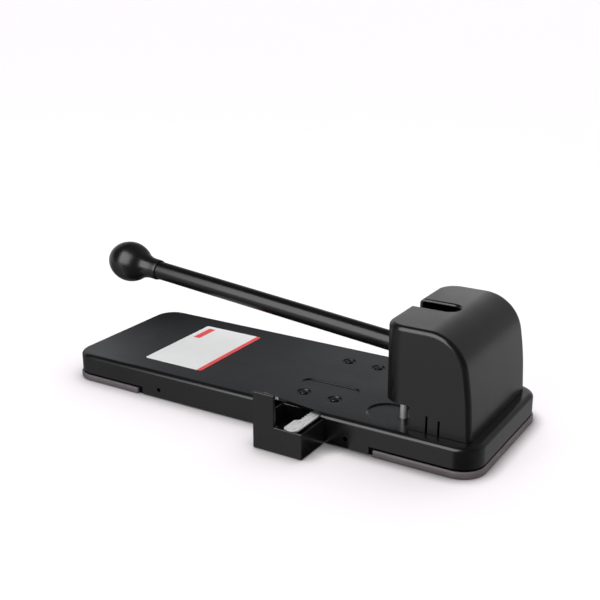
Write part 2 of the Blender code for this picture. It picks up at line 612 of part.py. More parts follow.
# ============================================================================
# PUNCH BEAM
# ============================================================================
BEAM = [(-47, 62), (-20, 62), (-15.5, 50), (15.5, 50), (20, 62), (47, 62), (47, 74),
        (18, 74), (13.4, 57), (-13.4, 57), (-18, 74), (-47, 74)]
beam = solid_outline("punch_beam", [BEAM], (119.5, 130.5), "YZ", PLAIN_STEEL,
                     parent=beam_axis, centre=(PIN_X, 0.0, 62.0))
FORK = [(129.0, 45.8), (146.0, 45.8), (146.0, 49.6), (133.5, 49.6), (133.5, 58.4),
        (146.0, 58.4), (146.0, 62.4), (128.2, 62.4), (128.2, 50.5), (129.0, 50.5)]
join(beam, solid_outline("fork", [FORK], (-8.0, 8.0), "XZ", coll=cutters))
for s, side in ((-1, "front"), (1, "rear")):
    y = s * HOLE_SPACING / 2
    cut(beam, tool_rod("beam_bore_" + side, PIN_R + GAP, (PIN_X, y, 50.0), (PIN_X, y, 90.0)))
    pin = rod("punch_pin_" + side, PIN_R, (PIN_X, y, PIN_TIP), (PIN_X, y, 75.0), BRIGHT_STEEL,
              24, parent=beam_axis, centre=(PIN_X, y, 62.0))
    join(pin, rod("pin_head_" + side, 4.9, (PIN_X, y, 74.3), (PIN_X, y, 77.2), segs=24,
                  coll=cutters))
    washer = rod("spring_washer_" + side, 6.4, (PIN_X, y, 60.7), (PIN_X, y, 61.7),
                 PLAIN_STEEL, 20, parent=beam_axis, centre=(PIN_X, y, 62.0))
    cut(washer, tool_rod("washer_bore_" + side, PIN_R + GAP, (PIN_X, y, 50.0),
                         (PIN_X, y, 70.0)))

# ============================================================================
# PAPER GUIDE
# ============================================================================
rail = box("guide_rail", (26.0, 68.0), (-44.6, 50.0), (16.5, 22.2), GUIDE_PLASTIC)
cut(rail, tool_box("rail_channel", (TEETH_X - GAP, STRIP_TAIL_X1 + GAP), (-60.0, 60.0),
                   (20.2, 30.0)),
    tool_box("rail_pocket", (46.8, TEETH_X), (DETENT_Y - 9.3, DETENT_Y + 9.3),
             (20.2, 30.0)))
n = 0
for i, x in enumerate(SCREW_X):
    for j, y in enumerate((-SCREW_Y, SCREW_Y)):
        n += 1
        cut(rail, tool_rod("rail_bore_%d%d" % (i, j), 2.3, (x, y, 10.0), (x, y, 30.0), 16))
        s = rod("rail_screw_%d" % n, 3.7, (x, y, BASE_TOP - SEAT_DEPTH + GAP),
                (x, y, 25.7), DARK_SCREW, 20, r2=3.0)
        join(s, rod("rail_screw_shank_%d" % n, 2.0, (x, y, 16.0), (x, y, 24.6), segs=12,
                    coll=cutters))
solid_outline("detent_spring",
              [[(47.4, DETENT_Y - 8.4), (48.2, DETENT_Y - 8.8), (53.5, DETENT_Y - 0.6),
                (53.5, DETENT_Y + 0.6), (48.2, DETENT_Y + 8.8), (47.4, DETENT_Y + 8.4),
                (52.4, DETENT_Y)]],
              (20.6, 22.0), mat=BRIGHT_STEEL)

block = box("guide_block", (GUIDE_X0, GUIDE_X1), (GUIDE_FRONT, -62.0), (0.4, GUIDE_TOP),
            GUIDE_PLASTIC, parent=guide_axis)
join(block, box("tower", (GUIDE_X0, TOWER_X1), (GUIDE_FRONT, TOWER_BACK), (10.0, TOWER_TOP),
                coll=cutters))
cut(block, tool_box("block_hollow", (46.5, 69.0), (GUIDE_FRONT + 1.5, -50.0), (4.0, 30.0)))
cut(block, tool_box("block_well", (26.4, 47.0), (TOWER_BACK + 1.5, -63.5), (4.0, 30.0)))
join(block, box("pedestal", (52.5, 61.5), (-103.5, -62.0), (3.0, 20.2), coll=cutters))
left_edge = []                 # the row of teeth that the detent spring rides on
y = STRIP_STEP + 1.0
while y < 24.0:
    left_edge += [(TEETH_X, y), (TEETH_X + 1.2, y + 1.2), (TEETH_X, y + 2.4)]
    y += 4.0
strip_outline = (arc(STRIP_X1 - 6.0, -98.9, 6.0, 270, 360, 6)
                 + [(STRIP_X1, -64.0), (STRIP_TAIL_X1, -60.5), (STRIP_TAIL_X1, 30.0),
                    (TEETH_X, 30.0)]
                 + left_edge[::-1]
                 + [(TEETH_X, STRIP_STEP), (STRIP_X0, STRIP_STEP - 2.4)]
                 + arc(STRIP_X0 + 5.0, -99.9, 5.0, 180, 270, 6))
strip = solid_outline("scale_strip", [strip_outline], (20.5, 21.7), mat=BRIGHT_STEEL,
                      parent=guide_axis, centre=(57.0, -80.0, 21.0))
for i, y in enumerate((-94.0, -76.0)):
    hole = (58.0, y)
    cut(strip, tool_rod("strip_hole_%d" % i, 1.9, (*hole, 18.0), (*hole, 24.0), 16))
    cut(block, tool_rod("pedestal_bore_%d" % i, 1.9, (*hole, 12.0), (*hole, 24.0), 16))
    rod("strip_rivet_%d" % (i + 1), 1.6, (*hole, 12.4), (*hole, 21.9), BRIGHT_STEEL, 16,
        parent=guide_axis)
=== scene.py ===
import math

import bmesh
import bpy
from mathutils import Matrix, Vector
from mathutils.geometry import delaunay_2d_cdt


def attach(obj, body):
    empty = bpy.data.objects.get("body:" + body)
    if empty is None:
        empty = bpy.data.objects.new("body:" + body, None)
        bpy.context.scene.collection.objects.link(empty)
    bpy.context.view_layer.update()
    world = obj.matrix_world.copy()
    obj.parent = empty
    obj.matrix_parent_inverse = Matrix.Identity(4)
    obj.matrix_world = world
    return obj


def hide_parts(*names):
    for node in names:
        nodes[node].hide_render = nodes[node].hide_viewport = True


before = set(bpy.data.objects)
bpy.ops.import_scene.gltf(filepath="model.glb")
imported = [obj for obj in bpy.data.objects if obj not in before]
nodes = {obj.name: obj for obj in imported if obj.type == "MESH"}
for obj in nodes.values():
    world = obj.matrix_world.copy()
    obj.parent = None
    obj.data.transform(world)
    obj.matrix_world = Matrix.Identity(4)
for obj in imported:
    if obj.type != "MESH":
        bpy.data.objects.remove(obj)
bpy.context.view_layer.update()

MM = 0.001
SCN = bpy.context.scene


# ============================================================================
# small tools; every length below is in millimetres in the frame of the part
# ============================================================================
def make(name, verts, faces, mat, body=None, node=None, slot=None, angle=32.0, merge=None):
    """Mesh from points in mm -> object that rides on a body and may stand for a node."""
    bm = bmesh.new()
    vs = [bm.verts.new(Vector(v) * MM) for v in verts]
    for f in faces:
        if len(set(f)) > 2:
            try:
                bm.faces.new([vs[i] for i in f])
            except ValueError:
                pass
    if merge:
        bmesh.ops.remove_doubles(bm, verts=bm.verts, dist=merge * MM)
    loose = [v for v in bm.verts if not v.link_faces]
    if loose:
        bmesh.ops.delete(bm, geom=loose, context="VERTS")
    bmesh.ops.recalc_face_normals(bm, faces=bm.faces)
    mesh = bpy.data.meshes.new(name)
    bm.to_mesh(mesh)
    bm.free()
    return place(name, mesh, mat, body, node, angle)


def place(name, mesh, mat, body=None, node=None, angle=32.0):
    obj = bpy.data.objects.new(name, mesh)
    SCN.collection.objects.link(obj)
    if mat is not None:
        mesh.materials.clear()
        mesh.materials.append(mat)
    mesh.shade_smooth()
    if angle is not None:
        mesh.set_sharp_from_angle(angle=math.radians(angle))
    if body:
        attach(obj, body)
    if node:
        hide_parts(*([node] if isinstance(node, str) else node))
    return obj


def hidden(obj):
    obj.hide_render = True
    obj.hide_viewport = False
    obj.display_type = "WIRE"
    return obj


def boolean(obj, tool, op="DIFFERENCE"):
    m = obj.modifiers.new(tool.name, "BOOLEAN")
    m.object = tool
    m.operation = op
    m.solver = "EXACT"
    return m


def bake(obj):
    """Applies the modifiers of obj, and drops the tools that they used."""
    bpy.context.view_layer.update()
    deps = bpy.context.evaluated_depsgraph_get()
    mesh = bpy.data.meshes.new_from_object(obj.evaluated_get(deps))
    tools = [m.object for m in obj.modifiers if m.type == "BOOLEAN"]
    obj.modifiers.clear()
    obj.data = mesh
    for t in tools:
        bpy.data.objects.remove(t, do_unlink=True)
    return obj


def clean(obj, angle=32.0, dist=0.002):
    """Welds, drops slivers, marks sharp edges; flat faces stay flat in the shading."""
    bm = bmesh.new()
    bm.from_mesh(obj.data)
    bmesh.ops.remove_doubles(bm, verts=bm.verts, dist=dist * MM)
    bmesh.ops.dissolve_degenerate(bm, dist=0.0005 * MM, edges=bm.edges)
    bm.to_mesh(obj.data)
    bm.free()
    obj.data.shade_smooth()
    obj.data.set_sharp_from_angle(angle=math.radians(angle))
    w = obj.modifiers.new("flat", "WEIGHTED_NORMAL")
    w.keep_sharp = True
    w.weight = 50
    return obj


def soften(obj, width, segments=3, angle=40.0, weld=True, harden=True):
    """Small rounding on every sharp edge, as a moulded or machined piece has."""
    if weld:
        w = obj.modifiers.new("weld", "WELD")
        w.merge_threshold = 0.000002
    b = obj.modifiers.new("round", "BEVEL")
    b.width = width * MM
    b.segments = segments
    b.limit_method = "ANGLE"
    b.angle_limit = math.radians(angle)
    b.miter_outer = "MITER_ARC"
    b.use_clamp_overlap = True
    b.harden_normals = harden
    return obj


def arc(cx, cy, r, a0, a1, n):
    return [(cx + r * math.cos(math.radians(a0 + (a1 - a0) * i / n)),
             cy + r * math.sin(math.radians(a0 + (a1 - a0) * i / n))) for i in range(n + 1)]


def prism(name, loop, z0, z1, mat=None, plane="XY", **kw):
    """Closed outline pulled from z0 to z1 along the plane's normal."""
    def pt(u, v, w):
        if plane == "XY":
            return (u, v, w)
        if plane == "XZ":
            return (u, w, v)
        return (w, u, v)
    n = len(loop)
    verts = [pt(u, v, z0) for u, v in loop] + [pt(u, v, z1) for u, v in loop]
    faces = [tuple(range(n - 1, -1, -1)), tuple(range(n, 2 * n))]
    faces += [(i, (i + 1) % n, n + (i + 1) % n, n + i) for i in range(n)]
    return make(name, verts, faces, mat, **kw)


def block(name, x, y, z, mat=None, **kw):
    return prism(name, [(x[0], y[0]), (x[1], y[0]), (x[1], y[1]), (x[0], y[1])], z[0], z[1],
                 mat, **kw)


def turned(name, profile, origin, axis, mat=None, n=48, **kw):
    """Profile of (radius, height along the axis), from one end of the axis to the other."""
    a = Vector(axis).normalized()
    ref = Vector((0, 0, 1)) if abs(a.z) < 0.9 else Vector((1, 0, 0))
    u = a.cross(ref).normalized()
    v = a.cross(u).normalized()
    o = Vector(origin)
    verts, faces, rows = [], [], []
    for r, t in profile:
        if r < 1e-6:
            verts.append(o + a * t)
            rows.append([len(verts) - 1] * n)
        else:
            base = len(verts)
            for k in range(n):
                q = 2 * math.pi * k / n
                verts.append(o + a * t + (u * math.cos(q) + v * math.sin(q)) * r)
            rows.append(list(range(base, base + n)))
    for r0, r1 in zip(rows, rows[1:]):
        for k in range(n):
            k1 = (k + 1) % n
            f = [r0[k], r0[k1], r1[k1], r1[k]]
            out = []
            for i in f:
                if i not in out:
                    out.append(i)
            if len(out) > 2:
                faces.append(tuple(out))
    for row in (rows[0], rows[-1]):
        if len(set(row)) > 1 and kw.get("closed", True) is True and profile[0] != profile[-1]:
            faces.append(tuple(row))
    kw.pop("closed", None)
    return make(name, verts, faces, mat, **kw)


def rod(name, r, p0, p1, mat=None, n=32, edge=0.0, **kw):
    p0, p1 = Vector(p0), Vector(p1)
    length = (p1 - p0).length
    if edge > 0:
        prof = [(0, 0), (r - edge, 0)] + [
            (r - edge + edge * math.sin(math.radians(q)), edge - edge * math.cos(math.radians(q)))
            for q in (30, 60, 90)]
        prof += [(r - edge + edge * math.cos(math.radians(q)),
                  length - edge + edge * math.sin(math.radians(q))) for q in (0, 30, 60, 90)]
        prof += [(0, length)]
    else:
        prof = [(0, 0), (r, 0), (r, length), (0, length)]
    return turned(name, prof, p0, p1 - p0, mat, n=n, **kw)


def tube_ring(name, r_in, r_out, z0, z1, centre, mat=None, n=48, edge=0.25, axis=(0, 0, 1), **kw):
    e = edge
    prof = [(r_in, z0 + e), (r_in + e * 0.3, z0 + e * 0.3), (r_in + e, z0), (r_out - e, z0),
            (r_out - e * 0.3, z0 + e * 0.3), (r_out, z0 + e),
            (r_out, z1 - e), (r_out - e * 0.3, z1 - e * 0.3), (r_out - e, z1), (r_in + e, z1),
            (r_in + e * 0.3, z1 - e * 0.3), (r_in, z1 - e), (r_in, z0 + e)]
    return turned(name, prof, centre, axis, mat, n=n, merge=0.0005, **kw)


# ============================================================================
# materials
# ============================================================================
class Mat:
    def __init__(self, name, colour, rough, metal=0.0, ior=1.5, spec=0.5):
        self.m = bpy.data.materials.new(name)
        self.m.use_nodes = True
        self.t = self.m.node_tree
        self.p = self.t.nodes["Principled BSDF"]
        self.p.inputs["Base Color"].default_value = (*colour, 1)
        self.p.inputs["Roughness"].default_value = rough
        self.p.inputs["Metallic"].default_value = metal
        self.p.inputs["IOR"].default_value = ior
        self.p.inputs["Specular IOR Level"].default_value = spec
        self.co = self.t.nodes.new("ShaderNodeTexCoord").outputs["Object"]
        self.m.diffuse_color = (*colour, 1)

    def node(self, kind, **inputs):
        n = self.t.nodes.new(kind)
        for k, v in inputs.items():
            if k in ("operation", "blend_type", "data_type", "feature", "distance", "noise_dimensions",
                     "wave_type", "bands_direction", "interpolation_type", "vector_type"):
                setattr(n, k, v)
        return n

    def link(self, a, b):
        self.t.links.new(a, b)

    def mapped(self, scale=(1, 1, 1), rot=(0, 0, 0), loc=(0, 0, 0)):
        n = self.t.nodes.new("ShaderNodeMapping")
        n.inputs["Scale"].default_value = scale
        n.inputs["Rotation"].default_value = rot
        n.inputs["Location"].default_value = loc
        self.link(self.co, n.inputs["Vector"])
        return n.outputs["Vector"]

    def noise(self, scale, detail=3.0, rough=0.5, vec=None, distortion=0.0):
        n = self.t.nodes.new("ShaderNodeTexNoise")
        n.inputs["Scale"].default_value = scale
        n.inputs["Detail"].default_value = detail
        n.inputs["Roughness"].default_value = rough
        n.inputs["Distortion"].default_value = distortion
        self.link(vec if vec is not None else self.co, n.inputs["Vector"])
        return n.outputs["Fac"]

    def voronoi(self, scale, feature="F1", vec=None):
        n = self.t.nodes.new("ShaderNodeTexVoronoi")
        n.feature = feature
        n.inputs["Scale"].default_value = scale
        self.link(vec if vec is not None else self.co, n.inputs["Vector"])
        return n.outputs["Distance"]

    def ramp(self, fac, stops, interp="LINEAR"):
        n = self.t.nodes.new("ShaderNodeValToRGB")
        n.color_ramp.interpolation = interp
        e = n.color_ramp.elements
        while len(e) > 1:
            e.remove(e[-1])
        e[0].position = stops[0][0]
        c = stops[0][1]
        e[0].color = (*c, 1) if isinstance(c, tuple) else (c, c, c, 1)
        for pos, c in stops[1:]:
            k = e.new(pos)
            k.color = (*c, 1) if isinstance(c, tuple) else (c, c, c, 1)
        self.link(fac, n.inputs["Fac"])
        return n.outputs["Color"]

    def range(self, fac, a, b, lo=0.0, hi=1.0, smooth=True):
        n = self.t.nodes.new("ShaderNodeMapRange")
        n.interpolation_type = "SMOOTHSTEP" if smooth else "LINEAR"
        n.clamp = True
        n.inputs["From Min"].default_value = a
        n.inputs["From Max"].default_value = b
        n.inputs["To Min"].default_value = lo
        n.inputs["To Max"].default_value = hi
        self.link(fac, n.inputs["Value"])
        return n.outputs["Result"]

    def math(self, op, a, b=None):
        n = self.t.nodes.new("ShaderNodeMath")
        n.operation = op
        for i, v in enumerate((a, b)):
            if v is None:
                continue
            if isinstance(v, (int, float)):
                n.inputs[i].default_value = v
            else:
                self.link(v, n.inputs[i])
        return n.outputs[0]

    def mix(self, fac, a, b, blend="MIX"):
        n = self.t.nodes.new("ShaderNodeMix")
        n.data_type = "RGBA"
        n.blend_type = blend
        n.clamp_factor = True
        for sock, v in ((n.inputs[0], fac), (n.inputs[6], a), (n.inputs[7], b)):
            if isinstance(v, tuple):
                sock.default_value = (*v, 1)
            elif isinstance(v, (int, float)):
                sock.default_value = v
            else:
                self.link(v, sock)
        return n.outputs[2]

    def xyz(self):
        n = self.t.nodes.new("ShaderNodeSeparateXYZ")
        self.link(self.co, n.inputs[0])
        return n.outputs[0], n.outputs[1], n.outputs[2]

    def normal_xyz(self):
        g = self.t.nodes.new("ShaderNodeTexCoord")
        n = self.t.nodes.new("ShaderNodeSeparateXYZ")
        self.link(g.outputs["Normal"], n.inputs[0])
        return n.outputs[0], n.outputs[1], n.outputs[2]

    def colour(self, out):
        self.link(out, self.p.inputs["Base Color"])

    def rough(self, out):
        self.link(out, self.p.inputs["Roughness"])

    def bump(self, height, strength, distance_mm, chain=None):
        n = self.t.nodes.new("ShaderNodeBump")
        n.inputs["Strength"].default_value = strength
        n.inputs["Distance"].default_value = distance_mm * MM
        self.link(height, n.inputs["Height"])
        if chain is not None:
            self.link(chain, n.inputs["Normal"])
        self.link(n.outputs["Normal"], self.p.inputs["Normal"])
        return n.outputs["Normal"]


def dusty(m, base, pale, amount=0.5):
    """A little dust that settles on what faces up, in drifts and specks."""
    _, _, nz = m.normal_xyz()
    up = m.range(nz, 0.55, 1.0)
    drift = m.range(m.noise(22, 5, 0.6), 0.45, 0.75)
    specks = m.range(m.noise(1900, 1, 0.5), 0.72, 0.80)
    sparse = m.range(m.noise(140, 2, 0.5), 0.50, 0.62)
    fac = m.math("MULTIPLY", up, m.math("ADD", m.math("MULTIPLY", drift, 0.18 * amount),
                                        m.math("MULTIPLY", m.math("MULTIPLY", specks, sparse),
                                               0.55 * amount)))
    return m.mix(fac, base, pale)


def satin_paint():
    m = Mat("satin_black_paint", (0.0055, 0.0055, 0.0060), 0.24, ior=1.34, spec=0.5)
    tone = m.noise(9, 4, 0.55)
    base = m.ramp(tone, [(0.3, (0.0045, 0.0045, 0.0050)), (0.7, (0.0068, 0.0068, 0.0074))])
    m.colour(dusty(m, base, (0.11, 0.11, 0.115), 0.22))
    smear = m.noise(14, 6, 0.62, m.mapped((1.0, 2.6, 1.0), (0, 0, 0.35)), 0.6)
    r = m.range(smear, 0.30, 0.72, 0.20, 0.265)
    hair = m.noise(620, 2, 0.5, m.mapped((0.06, 1.0, 1.0), (0, 0, 0.12)))
    r = m.math("ADD", r, m.math("MULTIPLY", m.range(hair, 0.66, 0.76), 0.05))
    m.rough(r)
    n1 = m.bump(m.noise(1500, 2, 0.5), 0.06, 0.05)
    m.bump(m.noise(210, 2, 0.5), 0.05, 0.08, n1)
    return m.m


def grained_plastic(name, c0, c1, r0, r1, grain=2300, depth=0.16, spec=0.5, dust=0.5, ior=1.34):
    m = Mat(name, c0, r0, ior=ior, spec=spec)
    base = m.ramp(m.noise(16, 4, 0.6), [(0.3, c0), (0.72, c1)])
    m.colour(dusty(m, base, (0.17, 0.17, 0.175), dust))
    r = m.range(m.noise(27, 6, 0.6, None, 0.4), 0.3, 0.72, r0, r1)
    m.rough(r)
    cell = m.voronoi(grain, "SMOOTH_F1")
    n1 = m.bump(cell, depth, 0.04)
    m.bump(m.noise(grain * 0.45, 3, 0.6), depth * 0.8, 0.05, n1)
    return m.m


def trim_rubber():
    m = Mat("trim_rubber", (0.115, 0.098, 0.108), 0.55, ior=1.42, spec=0.4)
    base = m.ramp(m.noise(60, 5, 0.6), [(0.28, (0.098, 0.083, 0.091)), (0.72, (0.132, 0.114, 0.124))])
    m.colour(dusty(m, base, (0.24, 0.23, 0.225), 0.6))
    m.rough(m.range(m.noise(45, 5, 0.6), 0.3, 0.7, 0.48, 0.64))
    n1 = m.bump(m.noise(2600, 2, 0.5), 0.20, 0.06)
    m.bump(m.noise(330, 3, 0.55), 0.12, 0.12, n1)
    return m.m


def tube_paint():
    m = Mat("gloss_tube_paint", (0.0050, 0.0050, 0.0055), 0.22, ior=1.31, spec=0.5)
    m.colour(m.ramp(m.noise(30, 4, 0.6), [(0.3, (0.0042, 0.0042, 0.0047)), (0.7, (0.0065, 0.0065, 0.0070))]))
    m.rough(m.range(m.noise(38, 6, 0.62, m.mapped((0.25, 1, 1)), 0.3), 0.3, 0.72, 0.20, 0.27))
    n1 = m.bump(m.noise(430, 2, 0.45), 0.10, 0.08)
    m.bump(m.noise(1900, 1, 0.5), 0.04, 0.04, n1)
    return m.m


def knob_plastic():
    m = Mat("satin_knob", (0.0060, 0.0060, 0.0062), 0.28, ior=1.34, spec=0.5)
    m.colour(m.ramp(m.noise(40, 4, 0.6), [(0.3, (0.0050, 0.0050, 0.0053)), (0.7, (0.0078, 0.0078, 0.0081))]))
    m.rough(m.range(m.noise(55, 6, 0.6), 0.28, 0.72, 0.24, 0.32))
    n1 = m.bump(m.noise(2500, 2, 0.5), 0.08, 0.04)
    m.bump(m.noise(520, 2, 0.5), 0.05, 0.05, n1)
    return m.m


def steel(name, colour, r0, r1, stretch=(1, 1, 0.04), scale=900, tint=None, bump=0.05, metal=1.0):
    m = Mat(name, colour, r0, metal=metal)
    dark = tuple(c * 0.86 for c in colour)
    grain = m.noise(scale, 4, 0.6, m.mapped(stretch))
    blot = m.noise(60, 4, 0.6)
    base = m.mix(m.range(blot, 0.35, 0.7), colour, tint or dark)
    m.colour(m.mix(m.range(grain, 0.42, 0.62, 0.0, 0.35), base, dark))
    m.rough(m.math("ADD", m.range(grain, 0.35, 0.65, r0, r1), m.range(blot, 0.4, 0.7, 0.0, 0.05)))
    m.bump(grain, bump, 0.03)
    return m.m


def black_oxide():
    m = Mat("black_oxide", (0.014, 0.014, 0.015), 0.32, metal=0.25, ior=1.36)
    m.colour(m.ramp(m.noise(600, 4, 0.6), [(0.35, (0.010, 0.010, 0.011)), (0.7, (0.020, 0.020, 0.022))]))
    m.rough(m.range(m.noise(800, 3, 0.6), 0.3, 0.7, 0.26, 0.36))
    m.bump(m.noise(2200, 2, 0.5), 0.10, 0.04)
    return m.m


def label_sheet():
    """Blank white film with a plain red band along its end, nothing printed on it."""
    m = Mat("label_film", (0.78, 0.78, 0.78), 0.35, ior=1.40, spec=0.5)
    x, y, _ = m.xyz()
    wobble = m.math("MULTIPLY", m.math("SUBTRACT", m.noise(900, 2, 0.5), 0.5), 0.00018)
    xx = m.math("ADD", x, wobble)
    band = m.range(xx, -0.0743, -0.0741, 0.0, 1.0, False)
    paper = m.ramp(m.noise(35, 4, 0.6), [(0.3, (0.765, 0.770, 0.768)), (0.7, (0.790, 0.794, 0.790))])
    red = m.ramp(m.noise(260, 3, 0.6), [(0.3, (0.74, 0.055, 0.060)), (0.7, (0.82, 0.080, 0.085))])
    # a small plain block of the same red in the far corner
    patch = m.math("MULTIPLY", m.range(xx, PATCH[0], PATCH[0] + 0.0002, 0.0, 1.0, False),
                   m.range(xx, PATCH[1], PATCH[1] + 0.0002, 1.0, 0.0, False))
    patch = m.math("MULTIPLY", patch, m.math("MULTIPLY", m.range(y, PATCH[2], PATCH[2] + 0.0002, 0.0, 1.0, False),
                                             m.range(y, PATCH[3], PATCH[3] + 0.0002, 1.0, 0.0, False)))
    m.colour(m.mix(m.math("MAXIMUM", band, patch), paper, red))
    m.rough(m.range(m.noise(70, 4, 0.6), 0.3, 0.7, 0.33, 0.38))
    n1 = m.bump(m.noise(420, 3, 0.5), 0.04, 0.03)
    m.bump(m.noise(24, 2, 0.5), 0.05, 0.10, n1)
    return m.m


def floor_mat():
    m = Mat("pale_floor", (0.80, 0.765, 0.785), 0.60, ior=1.3, spec=0.1)
    # painted contact shadow: the floor's colour and glow are painted darker beside what stands on it
    shade = m.t.nodes.new("ShaderNodeAmbientOcclusion")     # darker close beside what stands on it
    shade.inputs["Distance"].default_value = 0.020
    shade.samples = 8
    x, y, z = m.xyz()
    # painted shadow: where the AO finds something near, the colour goes to the dark tone below, fading in from x = 55
    # to 90 mm
    painted_contact_shadow = m.math("MULTIPLY", m.range(shade.outputs["AO"], 0.45, 0.95, 0.85, 0.0), m.range(x, 0.055, 0.090, 0.15, 1.0))
    pale = m.ramp(m.noise(700, 2, 0.5), [(0.3, (0.797, 0.762, 0.782)), (0.7, (0.805, 0.770, 0.790))])
    dark = m.ramp(m.noise(700, 2, 0.5), [(0.3, (0.040, 0.037, 0.038)), (0.7, (0.050, 0.047, 0.048))])
    m.colour(m.mix(painted_contact_shadow, pale, dark))
    m.rough(m.range(m.noise(500, 2, 0.5), 0.3, 0.7, 0.56, 0.64))
    m.p.inputs["Emission Color"].default_value = (1.0, 0.955, 0.98, 1)
    # painted shade: the glow also falls to nothing where the AO finds something near
    m.link(m.range(shade.outputs["AO"], 0.35, 0.85, 0.0, FLOOR_GLOW, False), m.p.inputs["Emission Strength"])
    return m.m


FLOOR_GLOW = 0.20
PATCH = (-0.1268, -0.1196, 0.0165, 0.0432)      # block on the label, in metres: x0, x1, y0, y1
PAINT = satin_paint()
HOOD = grained_plastic("hood_plastic", (0.0055, 0.0055, 0.0058), (0.0078, 0.0078, 0.0082), 0.21, 0.27,
                       2400, 0.07, dust=0.25)
GUIDE = grained_plastic("guide_plastic", (0.0052, 0.0052, 0.0055), (0.0080, 0.0080, 0.0084), 0.19, 0.25,
                        2100, 0.09, dust=0.25)
PAN = grained_plastic("pan_plastic", (0.022, 0.022, 0.023), (0.030, 0.030, 0.031), 0.5, 0.6, 1500, 0.25)
RUBBER = trim_rubber()
TUBE = tube_paint()
KNOB = knob_plastic()
OXIDE = black_oxide()
CHROME = steel("ground_steel", (0.80, 0.80, 0.81), 0.10, 0.17, (1, 1, 0.05), 1200, bump=0.03)
STRIP = steel("strip_steel", (0.93, 0.93, 0.93), 0.24, 0.34, (1, 0.05, 1), 1300, bump=0.10, metal=0.56)
PIN = steel("pin_steel", (0.92, 0.92, 0.92), 0.34, 0.42, (1, 1, 0.05), 1200, bump=0.02, metal=0.50)
DIE = steel("die_steel", (0.075, 0.075, 0.08), 0.20, 0.30, (1, 1, 1), 900, bump=0.05)
CUT = steel("cut_edge", (0.62, 0.62, 0.64), 0.28, 0.40, (1, 1, 1), 1500, bump=0.10)
ZINC = steel("zinc_steel", (0.52, 0.52, 0.53), 0.30, 0.42, (0.2, 1, 1), 700, (0.47, 0.48, 0.50), 0.06)
SPRING = steel("spring_wire", (0.60, 0.60, 0.61), 0.22, 0.30, (1, 1, 1), 900)
LABEL = label_sheet()
# painted shade: a near-black, dull material for the trims' lip and the small steps beside the trims, which lie in shade
PAINTED_SHADE = grained_plastic("painted_shade_gap", (0.0020, 0.0020, 0.0022), (0.0032, 0.0032, 0.0034), 0.72, 0.85, 1700, 0.2,
                        spec=0.05, dust=0.0, ior=1.2)

# ============================================================================
# base: pressed sheet, rounded along its top edge
# ============================================================================
HX, HY, TOP, RC = 200.0, 71.75, 25.0, 20.0
RA, RE = 4.8, 3.5                            # its top edge rolls over wider than high
SHEET = 1.5


def loop_at(inset, z, n=18, long_n=26, short_n=8):
    hx, hy, r = HX - inset, HY - inset, RC - inset
    pts = []
    cs = [(hx - r, hy - r, 0), (-hx + r, hy - r, 90), (-hx + r, -hy + r, 180), (hx - r, -hy + r, 270)]
    for i, (cx, cy, a0) in enumerate(cs):
        a = arc(cx, cy, r, a0, a0 + 90, n)
        pts += a
        nx, ny, na = cs[(i + 1) % 4]
        end = (nx + r * math.cos(math.radians(na)), ny + r * math.sin(math.radians(na)))
        m = long_n if i in (0, 2) else short_n
        p = a[-1]
        pts += [(p[0] + (end[0] - p[0]) * k / m, p[1] + (end[1] - p[1]) * k / m) for k in range(1, m)]
    return [(x, y, z) for x, y in pts]


def seat_loop(kind, x0, x1, yc, r, s, n=22):
    """Outline of a pressed seat, s inside its edge."""
    r = r - s
    if kind == "circle":
        return arc(x0, yc, r, 0, 360, 2 * n)[:-1]
    if kind == "slot":
        a = arc(x1 - r - s, yc, r, -90, 90, n) + arc(x0 + r + s, yc, r, 90, 270, n)
        return a
    xr = x1 - s
    a = [(xr, yc - r)] + [(xr, yc + r)]
    a += arc(x0 + s + r, yc, r, 90, 270, n)
    return a


def seat_depth(kind, x0, x1, yc, r, x, y):
    """How far (x, y) lies inside the edge of the seat, negative outside it."""
    if kind == "circle":
        return r - math.hypot(x - x0, y - yc)
    cx0, cx1 = x0 + r, (x1 - r if kind == "slot" else 1e9)
    px = min(max(x, cx0), cx1)
    d = r - math.hypot(x - px, y - yc)
    return d if kind == "slot" else min(d, x1 - x)


SEATS = [("half", 93.2, 137.0, -40.0, 18.3, 1.2, 2.2), ("half", 93.2, 137.0, 40.0, 18.3, 1.2, 2.2),
         ("slot", 18.0, 74.0, -19.0, 8.0, 1.0, 1.5)]
SEATS += [("circle", x, x, y, 6.6, 1.2, 1.4) for x in (32.1, 61.8) for y in (-40.0, 40.0)]


def top_z(x, y):
    z = TOP
    for kind, x0, x1, yc, r, depth, w in SEATS:
        d = seat_depth(kind, x0, x1, yc, r, x, y)
        if d > 0:
            t = min(d / w, 1.0)
            z -= depth * t * t * (3 - 2 * t)
    return z


